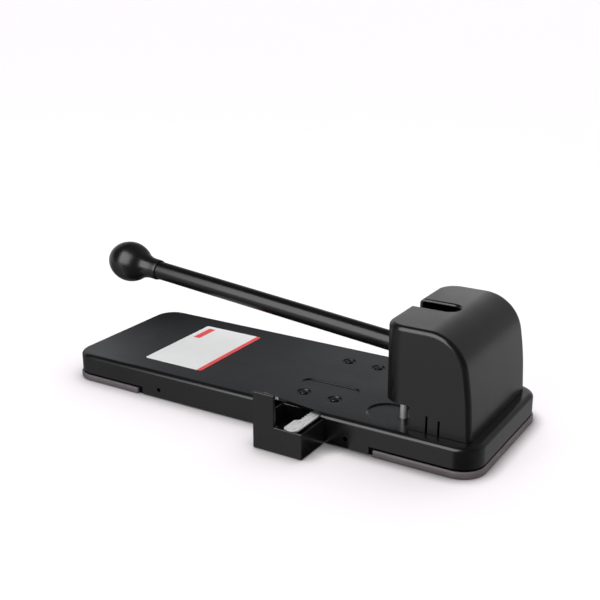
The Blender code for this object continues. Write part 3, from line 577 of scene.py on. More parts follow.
def build_base():
    verts, faces = [], []

    def add(loop):
        i = len(verts)
        verts.extend(loop)
        return list(range(i, i + len(loop)))

    def skin(a, b):
        n = len(a)
        for k in range(n):
            faces.append((a[k], a[(k + 1) % n], b[(k + 1) % n], b[k]))

    outer = [(0.55, 0.70), (0.18, 0.82), (0.0, 1.2), (0.0, 6.0), (0.0, 12.0)]
    outer += [(RA - RA * math.cos(math.radians(q)), TOP - RE + RE * math.sin(math.radians(q)))
              for q in range(0, 91, 6)]
    prev = None
    for ins, z in outer:
        cur = add(loop_at(ins, z))
        if prev:
            skin(prev, cur)
        prev = cur
    rim_top = prev
    ra, ri = RA - SHEET, RE - 2.5                 # the top face is thicker than the wall
    inner = [(0.75, 0.70), (SHEET - 0.2, 0.72), (SHEET, 1.2), (SHEET, 6.0)]
    inner += [(RA - ra * math.cos(math.radians(q)), TOP - RE + ri * math.sin(math.radians(q)))
              for q in range(0, 91, 15)]
    prev = add(loop_at(0.55, 0.70))
    for ins, z in inner:
        cur = add(loop_at(ins, z))
        skin(cur, prev)
        prev = cur
    # top sheet with its seats and holes
    pts, edges = [], []

    def ring(loop):
        i = len(pts)
        pts.extend(Vector((x, y)) for x, y in loop)
        n = len(loop)
        edges.extend((i + k, i + (k + 1) % n) for k in range(n))

    ring([(x, y) for x, y, _ in loop_at(RA, TOP)])
    for kind, x0, x1, yc, r, depth, w in SEATS:
        for k in range(7):
            ring(seat_loop(kind, x0, x1, yc, r, w * k / 6))
    holes = [(125.3, -40.0, 5.1), (125.3, 40.0, 5.1)]
    holes += [(x, y, 2.3) for x in (32.1, 61.8) for y in (-40.0, 40.0)]
    for x, y, r in holes:
        ring(arc(x, y, r, 0, 360, 32)[:-1])
    gx = [-190 + 19 * i for i in range(21)]
    for x in gx:
        for y in (-56, -28, 0, 28, 56):
            if all(seat_depth(k, a, b, c, r, x, y) < -2 or seat_depth(k, a, b, c, r, x, y) > w + 1
                   for k, a, b, c, r, _, w in SEATS):
                if all(math.hypot(x - hx, y - hy) > r + 2 for hx, hy, r in holes):
                    pts.append(Vector((x, y)))
    v2, _, f2, *_ = delaunay_2d_cdt(pts, edges, [], 0, 1e-4)
    up = add([(v.x, v.y, top_z(v.x, v.y)) for v in v2])
    dn = add([(v.x, v.y, TOP - 2.5) for v in v2])
    hole_edges = {}
    for f in f2:
        c = sum((v2[i] for i in f), Vector((0, 0))) / len(f)
        if any(math.hypot(c.x - hx, c.y - hy) < r - 0.02 for hx, hy, r in holes):
            continue
        faces.append(tuple(up[i] for i in f))
        faces.append(tuple(dn[i] for i in reversed(f)))
        for a, b in zip(f, list(f[1:]) + [f[0]]):
            hole_edges[(a, b)] = hole_edges.get((a, b), 0) + 1
    for (a, b) in list(hole_edges):
        if (b, a) not in hole_edges:
            pa, pb = v2[a], v2[b]
            if any(abs(math.hypot(p.x - hx, p.y - hy) - r) < 0.05 for p in (pa,)
                   for hx, hy, r in holes) and any(
                       abs(math.hypot(pb.x - hx, pb.y - hy) - r) < 0.05 for hx, hy, r in holes):
                faces.append((up[b], up[a], dn[a], dn[b]))
    base = make("base_pressing", verts, faces, PAINT, merge=0.003)
    # wall opening and notch for the paper guide, small holes, room for the trims
    notch = [(1.0, -80.0), (1.6, -62.5), (2.6, -59.6), (4.6, -58.2), (7.5, -58.1), (20.0, -61.5),
             (43.0, -65.0), (60.5, -67.3), (64.5, -68.6), (66.6, -71.0), (68.0, -80.0)]
    for t in (hidden(prism("t_notch", notch, 13.0, 40.0)),
              hidden(block("t_opening", (24.4, 71.0), (-80.0, -60.0), (-5.0, 22.5))),
              hidden(rod("t_hole_a", 2.0, (-99.5, -80, 8.5), (-99.5, -60, 8.5), n=28)),
              hidden(rod("t_hole_b", 2.0, (89.5, -80, 8.5), (89.5, -60, 8.5), n=28)),
              hidden(rod("t_hole_c", 2.0, (-99.5, 60, 8.5), (-99.5, 80, 8.5), n=28)),
              hidden(rod("t_hole_d", 2.0, (89.5, 60, 8.5), (89.5, 80, 8.5), n=28)),
              hidden(block("t_left", (-230.0, -122.8), (-90.0, 90.0), (-5.0, 7.4))),
              hidden(block("t_right", (114.4, 230.0), (-90.0, 90.0), (-5.0, 7.4))),
              hidden(block("t_step_a", (-125.0, -118.0), (-90.0, 1.1 - HY), (-5.0, 7.4))),
              hidden(block("t_step_b", (-125.0, -118.0), (HY - 1.1, 90.0), (-5.0, 7.4))),
              hidden(block("t_step_c", (110.5, 116.0), (-90.0, 1.1 - HY), (-5.0, 7.4))),
              hidden(block("t_step_d", (110.5, 116.0), (HY - 1.1, 90.0), (-5.0, 7.4)))):
        boolean(base, t)
    bake(base)
    base.data.materials.clear()
    base.data.materials.append(PAINT)
    base.data.materials.append(CUT)
    base.data.materials.append(PAINTED_SHADE)
    segs = [(Vector(a), Vector(b)) for a, b in zip(notch[2:5], notch[3:6])]
    for f in base.data.polygons:
        c = f.center / MM
        # painted shade: the small step beside the trims gets the near-black material
        if c.z < 7.45 and (-124.0 < c.x < -117.9 or 110.4 < c.x < 116.0) and HY - 1.3 < abs(c.y) < HY - 0.02:
            f.material_index = 2                     # small step beside the trims
            continue
        if abs(f.normal.z) > 0.4 or c.z < TOP - SHEET - 0.05 or c.y < -70.2:
            continue
        q = Vector((c.x, c.y))
        for a, b in segs:
            t = min(max((q - a).dot(b - a) / (b - a).length_squared, 0.0), 1.0)
            if (a + (b - a) * t - q).length < 0.05:
                f.material_index = 1                 # sheared, so bare
                break
    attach(base, "base")
    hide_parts("base_shell")
    clean(base, 30.0)
    return base


base_obj = build_base()


# ---- rubber trims round the two ends ---------------------------------------
def build_trim(name, node, sign, x_end):
    prof = [(0.2, 0.0), (-0.5, 0.12), (-0.95, 0.5), (-1.2, 1.1), (-1.2, 4.4), (-1.12, 4.9), (-0.85, 5.4),
            (-0.4, 5.72), (0.1, 5.82), (2.9, 5.85), (3.1, 6.12), (3.2, 6.9), (3.4, 7.1), (4.6, 7.1), (5.0, 6.7),
            (5.0, 0.4), (4.6, 0.0)]
    rows = []
    xe = abs(x_end)
    for ins, z in prof:
        hx, hy, r = HX - ins, HY - ins, RC - ins
        path = [(xe + (hx - r - xe) * k / 6, -hy) for k in range(6)]
        path += arc(hx - r, -hy + r, r, -90, 0, 22)
        path += [(hx, -hy + r + (2 * hy - 2 * r) * k / 8) for k in range(1, 8)]
        path += arc(hx - r, hy - r, r, 0, 90, 22)
        path += [(hx - r + (xe - hx + r) * k / 6, hy) for k in range(1, 7)]
        rows.append([(sign * x, y, z) for x, y in path])
    n, m = len(rows), len(rows[0])
    verts = [p for row in rows for p in row]
    faces = []
    for i in range(n):
        for k in range(m - 1):
            faces.append((i * m + k, i * m + k + 1, ((i + 1) % n) * m + k + 1, ((i + 1) % n) * m + k))
    faces.append(tuple(i * m for i in range(n)))
    faces.append(tuple(i * m + m - 1 for i in range(n)))
    t = make(name, verts, faces, RUBBER, body="base", node=node, slot="trim_rubber", angle=50)
    t.data.materials.append(PAINTED_SHADE)
    for f in t.data.polygons:
        # painted shade: the lip behind the wall gets the near-black material, as it lies out of the light
        if f.center.z / MM > 5.83:
            f.material_index = 1                     # lip behind the wall, out of the light
    soften(t, 0.35, 2, 60, weld=False, harden=False)
    return t


build_trim("trim_left", "foot_trim_left", -1, -123.0)
build_trim("trim_right", "foot_trim_right", 1, 114.6)


# ============================================================================
# hood
# ============================================================================
HH = 60.1
FR = 4.2                                     # rounding along its edges
HT = 2.0                                     # wall
CX, CZ, CR = 151.9, 75.0, 33.2               # shoulder
X0, ZT, RV = 113.6, 108.2, 17.0


def hood_rear():
    """Rear of the profile, bottom to top: (x, z, angle of the normal above +X)."""
    a1 = 10.0
    xa, za = CX + CR * math.cos(math.radians(a1)), CZ + CR * math.sin(math.radians(a1))
    p0, p1, p2 = (190.1, 25.3), (187.8, 61.0), (xa, za)
    pts = []
    n = 30
    for i in range(n):
        t = i / n
        # straight foot, then a slow bend into the slanted upper part
        z = p0[1] + (p2[1] - p0[1]) * t
        s0 = (p1[0] - p0[0]) / (p1[1] - p0[1])
        s1 = -math.tan(math.radians(a1))
        zb0, zb1 = 48.0, 74.0
        if z <= zb0:
            x = p0[0] + s0 * (z - p0[1])
            s = s0
        else:
            u = min((z - zb0) / (zb1 - zb0), 1.0)
            s = s0 + (s1 - s0) * u
            x = p0[0] + s0 * (zb0 - p0[1]) + (zb1 - zb0) * (s0 * u + (s1 - s0) * u * u / 2)
            if z > zb1:
                x += s1 * (z - zb1)
        pts.append([x, z, math.degrees(math.atan(-s))])
    # the bend ends a little off the shoulder, so slide it into place
    x_end = p0[0] + s0 * (48.0 - p0[1]) + 26.0 * (s0 + (s1 - s0) / 2) + s1 * (p2[1] - 74.0)
    off = p2[0] - x_end
    for p in pts:
        u = min(max((p[1] - 30.0) / (p2[1] - 30.0), 0.0), 1.0)
        p[0] += off * u
    for i in range(28):
        a = a1 + (90 - a1) * i / 27
        pts.append([CX + CR * math.cos(math.radians(a)), CZ + CR * math.sin(math.radians(a)), a])
    return pts


def hood_solid(name, inset, fr, bottom):
    """Closed body inside the hood's surface, moved in by inset, edges rounded by fr."""
    hh, zt, x0, rv = HH - inset, ZT - inset, X0 + inset, RV - inset
    path = []                                # (edge point, wall normal, roof normal)
    rear = []
    for x, z, a in hood_rear():
        nr = Vector((math.cos(math.radians(a)), 0, math.sin(math.radians(a))))
        rear.append((Vector((x, -hh, z)) - nr * inset, nr))
    e0, nr0 = rear[0]
    t = (bottom - e0.z) / nr0.x
    path.append((Vector((e0.x - nr0.z * t, -hh, bottom)), Vector((0, -1, 0)), nr0))
    path += [(e, Vector((0, -1, 0)), nr) for e, nr in rear if e.z > bottom + 0.3]
    for x in (146.0, 139.7, X0 + RV):
        path.append((Vector((x, -hh, zt)), Vector((0, -1, 0)), Vector((0, 0, 1))))
    kc = len(path) - 1
    for i in range(1, 21):
        a = math.radians(-90 - 90 * i / 20)
        nw = Vector((math.cos(a), math.sin(a), 0))
        path.append((Vector((x0 + rv, -hh + rv, zt)) + nw * rv, nw, Vector((0, 0, 1))))
    path.append((Vector((x0, 0.0, zt)), Vector((-1, 0, 0)), Vector((0, 0, 1))))
    full = path + [(Vector((e.x, -e.y, e.z)), Vector((nw.x, -nw.y, nw.z)), nr)
                   for e, nw, nr in reversed(path[:-1])]
    K, J = len(full), 6
    verts, faces = [], []

    def v(p):
        verts.append(tuple(p))
        return len(verts) - 1

    fil = []
    for i, (e, nw, nr) in enumerate(full):
        c = e - (nw + nr) * fr
        row = []
        for j in range(J + 1):
            q = math.radians(90 * j / J)
            p = c + (nw * math.cos(q) + nr * math.sin(q)) * fr
            if i in (0, K - 1):
                p.z = bottom                 # the foot lies in one plane
            row.append(v(p))
        fil.append(row)
    for i in range(K - 1):
        for j in range(J):
            faces.append((fil[i][j], fil[i + 1][j], fil[i + 1][j + 1], fil[i][j + 1]))
    for i in range(kc):
        faces.append((fil[i][J], fil[i + 1][J], fil[K - 2 - i][J], fil[K - 1 - i][J]))
    faces.append(tuple(fil[i][J] for i in range(kc, K - kc)))
    low = {}
    for i in range(kc, K - kc):
        low[i] = v((full[i][0].x, full[i][0].y, bottom))
    faces.append(tuple([fil[i][0] for i in range(kc + 1)] + [low[kc]]))
    faces.append(tuple([fil[i][0] for i in range(K - 1, K - 2 - kc, -1)] + [low[K - 1 - kc]]))
    for i in range(kc, K - 1 - kc):
        faces.append((fil[i][0], fil[i + 1][0], low[i + 1], low[i]))
    faces.append(tuple(fil[0][j] for j in range(J, -1, -1))
                 + tuple(low[i] for i in range(kc, K - kc))
                 + tuple(fil[K - 1][j] for j in range(J + 1)))
    return make(name, verts, faces, HOOD, merge=0.003)


def build_hood():
    hood = hood_solid("hood_cover", 0.0, FR, 25.3)
    boolean(hood, hidden(hood_solid("t_hollow", HT, 2.2, 18.0)))
    bake(hood)
    boolean(hood, hidden(block("t_throat", (100.0, 139.7), (-80.0, 80.0), (10.0, 44.5))))

    def slot_loop(g):
        r = 9.5 + g
        return [(90.0, -r)] + arc(142.9, 0.0, r, -90, 90, 20) + [(90.0, r)]

    # its edge is drawn inwards, so the roof rolls over into the slot
    flare = [(56.5, 0.0), (104.0, 0.0)] + [
        (ZT - 2.2 + 2.2 * math.sin(math.radians(q)), 2.2 - 2.2 * math.cos(math.radians(q)))
        for q in (0, 11, 22, 34, 46, 58, 69, 79, 88)] + [(ZT + 0.4, 2.2), (140.0, 2.2)]
    tv, tf, rows = [], [], []
    for z, g in flare:
        lp = slot_loop(g)
        rows.append(list(range(len(tv), len(tv) + len(lp))))
        tv += [(x, y, z) for x, y in lp]
    for a, b in zip(rows, rows[1:]):
        n = len(a)
        tf += [(a[i], a[(i + 1) % n], b[(i + 1) % n], b[i]) for i in range(n)]
    tf += [tuple(rows[0]), tuple(rows[-1])]
    boolean(hood, hidden(make("t_slot", tv, tf, None)))
    for s in (-1, 1):
        for i, (x, top) in enumerate(((153.7, 39.6), (163.9, 37.8))):
            y0, y1 = sorted((s * 50.0, s * 70.0))
            boolean(hood, hidden(block("t_slit_%d_%d" % (s, i), (x - 0.9, x + 0.9), (y0, y1), (20.0, top))))
    bake(hood)
    hood.data.materials.clear()
    hood.data.materials.append(HOOD)
    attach(hood, "base")
    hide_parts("hood")
    clean(hood, 30.0)
    return hood


hood_obj = build_hood()

# ============================================================================
# lever
# ============================================================================
TILT = math.radians(5.44)
ALONG = Vector((-math.cos(TILT), 0.0, math.sin(TILT)))
ACROSS = Vector((math.sin(TILT), 0.0, math.cos(TILT)))
PIVOT = Vector((162.0, 0.0, 66.0))
FOOT = PIVOT - ACROSS * 2.63


def on_lever(s, up=0.0, side=0.0):
    return FOOT + ALONG * s + ACROSS * up + Vector((0, side, 0))


tube_prof = [(6.5, 0.0), (8.0, 0.0), (8.25, 0.12), (8.4, 0.4)]
tube_prof += [(8.4, 0.4 + 302.0 * k / 24) for k in range(1, 25)]
tube_prof += [(8.25, 302.68), (8.0, 302.8), (6.5, 302.8), (6.5, 0.0)]
lever_tube = turned("lever_tube_fine", tube_prof, on_lever(36.2), ALONG, TUBE, n=64,
                    body="lever", node="lever_tube", slot="tube_paint", merge=0.0005)

knob_prof = [(8.75, 25.8), (8.75, 0.5), (8.80, 0.2), (8.92, 0.1), (9.05, 0.2), (9.50, 1.6), (9.56, 2.1)]
k_r, k_a, k_c, k_j = 19.0, 22.27, 35.8, 20.9


def knob_body(h):
    return k_r * math.sqrt(max(1.0 - abs(h) ** 1.9, 0.0))


h_j = (k_j - k_c) / k_a
r_j = knob_body(h_j)
rise = (knob_body(h_j + 0.001) - knob_body(h_j - 0.001)) / (0.002 * k_a)
for i in range(17):                          # the neck flows into the body
    u = i / 16
    knob_prof.append((9.56 + (r_j - 9.56) * (3 * u ** 2 - 2 * u ** 3) + (k_j - 3.0) * rise * (u ** 3 - u ** 2),
                      3.0 + (k_j - 3.0) * u))
a_j = math.asin(h_j)
for i in range(1, 41):
    h = math.sin(a_j + (math.pi / 2 - a_j) * i / 40)
    knob_prof.append((knob_body(h) if i < 40 else 0.0, k_c + k_a * h))
knob = turned("lever_knob_fine", [(0.0, 25.8)] + knob_prof, on_lever(313.4), ALONG, KNOB, n=72,
              body="lever", node="lever_knob", slot="knob_plastic", merge=0.0005, angle=60)

# ============================================================================
# pins, dies, screws
# ============================================================================
for s, side in ((-1, "front"), (1, "rear")):
    y = 40.0 * s
    pin = [(0, 22.0), (2.5, 22.25), (2.85, 22.4), (3.0, 22.7), (3.0, 74.6), (4.6, 74.6), (4.85, 74.8),
           (4.9, 75.2), (4.9, 76.6), (4.7, 77.0), (4.3, 77.2), (0, 77.2)]
    turned("punch_pin_%s_fine" % side, pin, (125.3, y, 0), (0, 0, 1), PIN, n=48, body="beam",
           node="punch_pin_" + side, slot="bright_steel")
    tube_ring("die_bush_%s_fine" % side, 3.2, 4.8, 13.6, 24.0, (125.3, y, 0), DIE, body="base",
              node="die_bush_" + side, slot="bright_steel", edge=0.3)
    tube_ring("spring_washer_%s_fine" % side, 3.3, 6.4, 60.7, 61.7, (125.3, y, 0), ZINC, body="beam",
              node="spring_washer_" + side, slot="plain_steel", edge=0.2)

k = 0
for x in (32.1, 61.8):
    for y in (-40.0, 40.0):
        k += 1
        head = [(0, 24.05), (3.3, 24.05), (3.58, 24.15), (3.7, 24.4), (3.7, 24.75), (3.55, 25.1),
                (3.2, 25.38), (2.6, 25.56), (1.8, 25.66), (0.9, 25.70), (0, 25.70)]
        screw = turned("rail_screw_%d_fine" % k, head, (x, y, 0), (0, 0, 1), OXIDE, n=40)
        for q in (0.35, 0.35 + math.pi / 2):
            tool = block("t_x", (-2.3, 2.3), (-0.45, 0.45), (24.85, 27.0))
            tool.data.transform(Matrix.Translation(Vector((x, y, 0)) * MM) @ Matrix.Rotation(q + 0.4 * k, 4, "Z"))
            boolean(screw, hidden(tool))
        bake(screw)
        screw.data.materials.clear()
        screw.data.materials.append(OXIDE)
        clean(screw, 35)
        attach(screw, "base")
        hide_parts("rail_screw_%d" % k)

# ============================================================================
# paper guide
# ============================================================================
GX0, GX1, GY0, GY1 = 24.9, 70.5, -107.4, -62.0


def build_guide():
    tray = block("guide_tray", (GX0, GX1), (GY0, GY1), (0.4, 22.2), GUIDE)
    boolean(tray, hidden(block("t_tower", (GX0, 44.9), (GY0, -104.4), (10.0, 49.0))), "UNION")
    boolean(tray, hidden(block("t_hollow", (46.4, 69.0), (GY0 + 1.5, -50.0), (4.0, 30.0))))
    boolean(tray, hidden(block("t_well", (26.5, 47.0), (-102.9, -63.6), (4.0, 30.0))))
    boolean(tray, hidden(block("t_ped", (52.5, 61.5), (-103.5, -62.0), (3.0, 20.2))), "UNION")
    bake(tray)
    tray.data.materials.clear()
    tray.data.materials.append(GUIDE)
    bm = bmesh.new()
    bm.from_mesh(tray.data)
    bmesh.ops.remove_doubles(bm, verts=bm.verts, dist=0.002 * MM)
    bmesh.ops.dissolve_limit(bm, angle_limit=math.radians(1), verts=bm.verts, edges=bm.edges)
    bm.to_mesh(tray.data)
    bm.free()
    soften(tray, 0.7, 4, 40, weld=False)
    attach(tray, "guide")
    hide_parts("guide_block")
    tray.data.shade_smooth()
    return tray


build_guide()


def build_strip():
    left = []
    y = -82.6
    while y < 24.0:
        left += [(54.0, y - 0.9), (54.0, y + 0.1), (55.15, y + 1.2), (55.15, y + 1.45), (54.0, y + 2.4)]
        y += 4.0
    loop = arc(57.6, -98.9, 6.0, 270, 360, 10) + [(63.6, -64.0), (58.8, -60.5), (58.8, 30.0), (54.0, 30.0)]
    loop += left[::-1] + [(53.4, -83.9), (50.6, -86.0)] + arc(55.6, -99.9, 5.0, 180, 270, 10)
    s = prism("guide_strip", loop, 20.5, 21.7, STRIP)
    for i, yy in enumerate((-94.0, -76.0)):
        boolean(s, hidden(rod("t_rivet_%d" % i, 1.85, (58.0, yy, 18), (58.0, yy, 24), n=28)))
    bake(s)
    s.data.materials.clear()
    s.data.materials.append(STRIP)
    soften(s, 0.18, 2, 50)
    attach(s, "guide")
    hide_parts("scale_strip")
    return s


build_strip()
for i, yy in enumerate((-94.0, -76.0)):
    turned("strip_rivet_%d_fine" % (i + 1),
           [(0, 12.4), (1.6, 12.4), (1.6, 20.6), (1.8, 20.8), (1.8, 21.55), (1.72, 21.68), (1.4, 21.74), (0, 21.76)],
           (58.0, yy, 0), (0, 0, 1), STRIP, n=32, body="guide", node="strip_rivet_%d" % (i + 1),
           slot="bright_steel")


# ============================================================================
# label: blank film, rounded corners, lying on the sheet
# ============================================================================
def build_label():
    x0, x1, h, r = -132.6, -69.5, 48.8, 2.4
    loop = (arc(x1 - r, h - r, r, 0, 90, 8) + arc(x0 + r, h - r, r, 90, 180, 8)
            + arc(x0 + r, -h + r, r, 180, 270, 8) + arc(x1 - r, -h + r, r, 270, 360, 8))
    lab = prism("label_film_sheet", loop, 25.02, 25.34, LABEL)
    soften(lab, 0.1, 2, 50, weld=False)
    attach(lab, "base")
    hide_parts("label_plate")
    return lab


build_label()

# ============================================================================
# pieces that keep the shape they have in the frame, with a rounded edge
# ============================================================================
KEEP = {
    "bottom_plate": (PAN, 0.4), "die_plate": (OXIDE, 0.3), "back_stop": (OXIDE, 0.4), "stripper_plate": (OXIDE, 0.3),
    "side_plate_front": (ZINC, 0.3), "side_plate_rear": (ZINC, 0.3), "pivot_pin": (CHROME, 0.4),
    "pivot_clip_front": (ZINC, 0.2), "pivot_clip_rear": (ZINC, 0.2), "guide_rail": (GUIDE, 0.3),
    "detent_spring": (SPRING, 0.0), "return_spring_front": (SPRING, 0.0), "return_spring_rear": (SPRING, 0.0),
    "lever_yoke": (ZINC, 0.4), "tube_rivet": (ZINC, 0.3), "roller_pin": (CHROME, 0.3),
    "drive_roller": (CHROME, 0.3), "punch_beam": (ZINC, 0.4),
}
for i in range(1, 5):
    KEEP["bottom_screw_%d" % i] = (OXIDE, 0.25)
    KEEP["frame_bolt_%d" % i] = (OXIDE, 0.3)
    KEEP["frame_nut_%d" % i] = (ZINC, 0.3)
for i in (1, 2):
    KEEP["die_screw_%d" % i] = (OXIDE, 0.3)
    KEEP["stripper_screw_%d" % i] = (OXIDE, 0.3)
    KEEP["hood_screw_%d" % i] = (OXIDE, 0.25)
for name, (mat, r) in KEEP.items():
    o = nodes[name]
    if o.material_slots:
        for sl in o.material_slots:
            sl.material = mat
    else:
        o.data.materials.append(mat)
    if r > 0:
        soften(o, r, 2, 40, weld=True, harden=False)

# ============================================================================
# floor, light, camera
# ============================================================================
bpy.ops.mesh.primitive_plane_add(size=120.0, location=(0, 0, -0.0001))
floor = bpy.context.object
floor.name = "floor"
floor.data.materials.append(floor_mat())
floor.visible_glossy = False                 # walls mirror the studio round it, which is plainer

world = bpy.data.worlds.new("studio")
SCN.world = world
world.use_nodes = True
wt = world.node_tree
bg = wt.nodes["Background"]
tc = wt.nodes.new("ShaderNodeTexCoord")
sep = wt.nodes.new("ShaderNodeSeparateXYZ")
wt.links.new(tc.outputs["Generated"], sep.inputs[0])


def sky(stops):
    n = wt.nodes.new("ShaderNodeValToRGB")
    e = n.color_ramp.elements
    e[0].position, e[0].color = stops[0][0], (stops[0][1],) * 3 + (1,)
    e[1].position, e[1].color = stops[-1][0], (stops[-1][1],) * 3 + (1,)
    for pos, v in stops[1:-1]:
        k = e.new(pos)
        k.color = (v, v, v, 1)
    wt.links.new(sep.outputs[2], n.inputs["Fac"])
    return n.outputs["Color"]


# by height: what the top faces mirror, at the back left and the back right, and the front
back_left = sky([(0.0, 1.20), (0.28, 1.22), (0.335, 0.98), (0.40, 0.78), (0.46, 0.55), (0.56, 0.33),
                 (0.70, 0.06), (1.0, 0.025)])
back_right = sky([(0.0, 0.44), (0.50, 0.38), (0.77, 0.30), (0.90, 0.06), (1.0, 0.025)])
front = sky([(0.0, 0.12), (0.30, 0.04), (1.0, 0.025)])


def blend(a, b, src, lo, hi):
    r = wt.nodes.new("ShaderNodeMapRange")
    r.interpolation_type = "SMOOTHSTEP"
    r.inputs["From Min"].default_value = lo
    r.inputs["From Max"].default_value = hi
    wt.links.new(src, r.inputs["Value"])
    m = wt.nodes.new("ShaderNodeMix")
    m.data_type = "RGBA"
    wt.links.new(r.outputs["Result"], m.inputs[0])
    wt.links.new(a, m.inputs[6])
    wt.links.new(b, m.inputs[7])
    return m.outputs[2]


# by bearing, below the horizon: what the walls mirror. Bright paper in front of
# the long wall, a dark gap at the front right, paper again on the right and behind.
turn = wt.nodes.new("ShaderNodeMath")
turn.operation = "ARCTAN2"
wt.links.new(sep.outputs[1], turn.inputs[0])
wt.links.new(sep.outputs[0], turn.inputs[1])
unit = wt.nodes.new("ShaderNodeMath")
unit.operation = "MULTIPLY_ADD"
wt.links.new(turn.outputs[0], unit.inputs[0])
unit.inputs[1].default_value = 1 / (2 * math.pi)
unit.inputs[2].default_value = 0.5
low = wt.nodes.new("ShaderNodeValToRGB")
el = low.color_ramp.elements
ring = [(-180, 0.20), (-170, 0.22), (-153, 0.40), (-137, 0.52), (-130, 0.57), (-127.5, 0.72), (-124.5, 0.80),
        (-121, 0.98), (-117, 0.96), (-115, 1.22), (-112.5, 1.10), (-104, 1.08), (-101, 0.15), (-60, 0.10),
        (-35, 0.12), (-5, 0.25), (30, 0.40), (60, 0.42), (120, 0.40), (180, 0.20)]
el[0].position, el[0].color = 0.0, (ring[0][1],) * 3 + (1,)
el[1].position, el[1].color = 1.0, (ring[-1][1],) * 3 + (1,)
for az, v in ring[1:-1]:
    k = el.new((az + 180) / 360)
    k.color = (v, v, v, 1)
wt.links.new(unit.outputs[0], low.inputs["Fac"])
lift = wt.nodes.new("ShaderNodeMapRange")        # a little brighter close under the horizon
lift.inputs["From Min"].default_value = -0.37
lift.inputs["From Max"].default_value = -0.23
lift.inputs["To Min"].default_value = 1.0
lift.inputs["To Max"].default_value = 1.55
wt.links.new(sep.outputs[2], lift.inputs["Value"])
lifted = wt.nodes.new("ShaderNodeVectorMath")
lifted.operation = "SCALE"
wt.links.new(low.outputs["Color"], lifted.inputs[0])
wt.links.new(lift.outputs["Result"], lifted.inputs[3])

back = blend(back_left, back_right, sep.outputs[0], -0.30, 0.25)
upper = blend(front, back, sep.outputs[1], -0.10, 0.45)
wt.links.new(blend(lifted.outputs[0], upper, sep.outputs[2], -0.03, 0.01), bg.inputs["Color"])
bg.inputs["Strength"].default_value = 1.0


def softbox(name, loc, target, size, power, colour=(1, 1, 1)):
    light = bpy.data.lights.new(name, "AREA")
    light.shape = "RECTANGLE"
    light.size, light.size_y = size
    light.energy = power
    light.color = colour
    o = bpy.data.objects.new(name, light)
    SCN.collection.objects.link(o)
    o.location = loc
    o.rotation_euler = (Vector(target) - Vector(loc)).to_track_quat("-Z", "Y").to_euler()
    return o


# the large box in front lights what is glossy; a smaller share of it lights the rest
key = softbox("front_box", (-0.430, -1.600, 1.130), (0, 0, 0.0), (1.78, 2.30), 100)
key.visible_diffuse = False
soft = softbox("front_soft", (-0.504, -1.756, 0.814), (0, 0, 0.0), (1.87, 1.60), 12)
soft.visible_glossy = False

sun = bpy.data.lights.new("fill", "SUN")
sun.energy = 3.0
sun.angle = math.radians(110)
fill = bpy.data.objects.new("fill", sun)
SCN.collection.objects.link(fill)
fill.rotation_euler = (math.radians(-16), math.radians(14), 0)
fill.visible_glossy = False                  # it lifts the diffuse colours and leaves no highlight

# grey card behind the left half, which the top of the base mirrors
card_mesh = bpy.data.meshes.new("card")
card_mesh.from_pydata([(-0.60, -0.178, 0.0), (0.046, 0.215, 0.0), (0.046, 0.215, 0.150), (-0.60, -0.178, 0.150)],
                      [], [(0, 1, 2, 3)])
card_mat = bpy.data.materials.new("card")
card_mat.use_nodes = True
cp = card_mat.node_tree.nodes["Principled BSDF"]
cp.inputs["Base Color"].default_value = (0, 0, 0, 1)
cp.inputs["Specular IOR Level"].default_value = 0.0
ct = card_mat.node_tree
cx = ct.nodes.new("ShaderNodeSeparateXYZ")
ct.links.new(ct.nodes.new("ShaderNodeTexCoord").outputs["Object"], cx.inputs[0])
along_card = ct.nodes.new("ShaderNodeMapRange")
along_card.inputs["From Min"].default_value = -0.60
along_card.inputs["From Max"].default_value = 0.05
ct.links.new(cx.outputs[0], along_card.inputs["Value"])
up_card = ct.nodes.new("ShaderNodeMapRange")
up_card.inputs["From Min"].default_value = 0.0
up_card.inputs["From Max"].default_value = 0.150
ct.links.new(cx.outputs[2], up_card.inputs["Value"])


def card_ramp(src, tones):
    n = ct.nodes.new("ShaderNodeValToRGB")
    e = n.color_ramp.elements
    e[0].position, e[0].color = tones[0][0], tones[0][1]
    e[1].position, e[1].color = tones[-1][0], tones[-1][1]
    for pos, c in tones[1:-1]:
        e.new(pos).color = c
    ct.links.new(src, n.inputs["Fac"])
    return n.outputs["Color"]


def tone(v, r=0.92, g=0.95):
    return (v * r, v * g, v, 1)


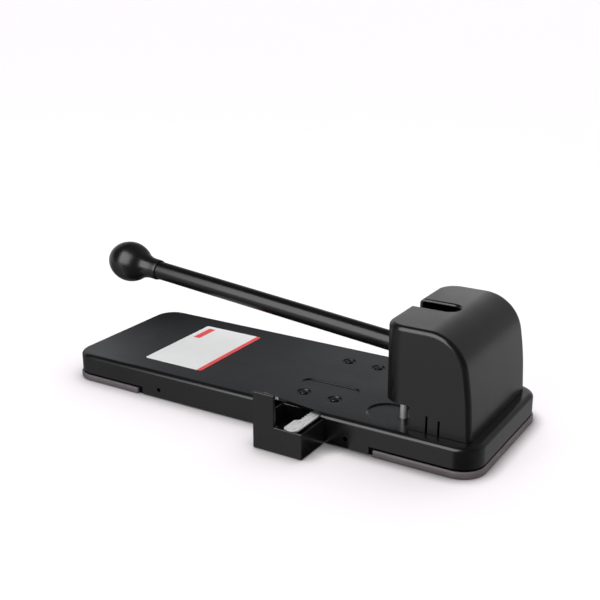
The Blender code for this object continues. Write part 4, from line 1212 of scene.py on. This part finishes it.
side_tone = card_ramp(along_card.outputs["Result"],
                      [(0.0, tone(0.86)), (0.53, tone(0.86)), (0.565, tone(0.62)), (0.61, tone(0.42)),
                       (0.70, tone(0.38)), (0.78, tone(0.44)), (0.86, tone(0.56)), (1.0, tone(0.60))])
high_tone = card_ramp(up_card.outputs["Result"],
                      [(0.0, tone(0.10, 1, 1)), (0.20, tone(0.22, 1, 1)), (0.38, tone(0.66, 1, 1)),
                       (0.55, tone(0.88, 1, 1)), (0.76, tone(1.00, 1, 1)), (0.87, tone(0.80, 1, 1)),
                       (1.0, tone(0.50, 1, 1))])
both = ct.nodes.new("ShaderNodeMix")
both.data_type = "RGBA"
both.blend_type = "MULTIPLY"
both.inputs[0].default_value = 1.0
ct.links.new(side_tone, both.inputs[6])
ct.links.new(high_tone, both.inputs[7])
ct.links.new(both.outputs[2], cp.inputs["Emission Color"])
cp.inputs["Emission Strength"].default_value = 1.0
card_mesh.materials.append(card_mat)
card = bpy.data.objects.new("card", card_mesh)
SCN.collection.objects.link(card)
card.visible_camera = False
card.visible_shadow = False
card.visible_diffuse = False

# a small black card that only the glossy surfaces see: the shade beside the guide
def flag(name, corners, glow):
    mesh = bpy.data.meshes.new(name)
    mesh.from_pydata([tuple(Vector(c) * MM) for c in corners], [], [(0, 1, 2, 3)])
    mat = bpy.data.materials.new(name)
    mat.use_nodes = True
    q = mat.node_tree.nodes["Principled BSDF"]
    q.inputs["Base Color"].default_value = (0, 0, 0, 1)
    q.inputs["Specular IOR Level"].default_value = 0.0
    q.inputs["Emission Color"].default_value = (1, 1, 1, 1)
    q.inputs["Emission Strength"].default_value = glow
    mesh.materials.append(mat)
    o = bpy.data.objects.new(name, mesh)
    SCN.collection.objects.link(o)
    o.visible_camera = False
    o.visible_diffuse = False
    o.visible_shadow = False
    return o


# painted shade: a black card on the floor right of the guide, which the block and the base wall mirror as shade in
# place of the lit floor
flag("shade_card", [(70.9, -106.5, 0.1), (77.0, -106.5, 0.1), (92.0, -72.4, 0.1), (70.9, -72.4, 0.1)], 0.0)

cam = bpy.data.cameras.new("camera")
cam.sensor_width = 36.0
cam.lens = 60.86
cam.clip_start, cam.clip_end = 0.01, 60.0
cam_obj = bpy.data.objects.new("camera", cam)
SCN.collection.objects.link(cam_obj)
cam_obj.location = (0.43775, -0.71626, 0.371)
cam_obj.rotation_euler = (math.radians(71.47), 0.0, math.radians(31.2))
SCN.camera = cam_obj

SCN.view_settings.view_transform = "Standard"
SCN.view_settings.look = "None"
SCN.view_settings.exposure = 0.0
SCN.view_settings.gamma = 1.0
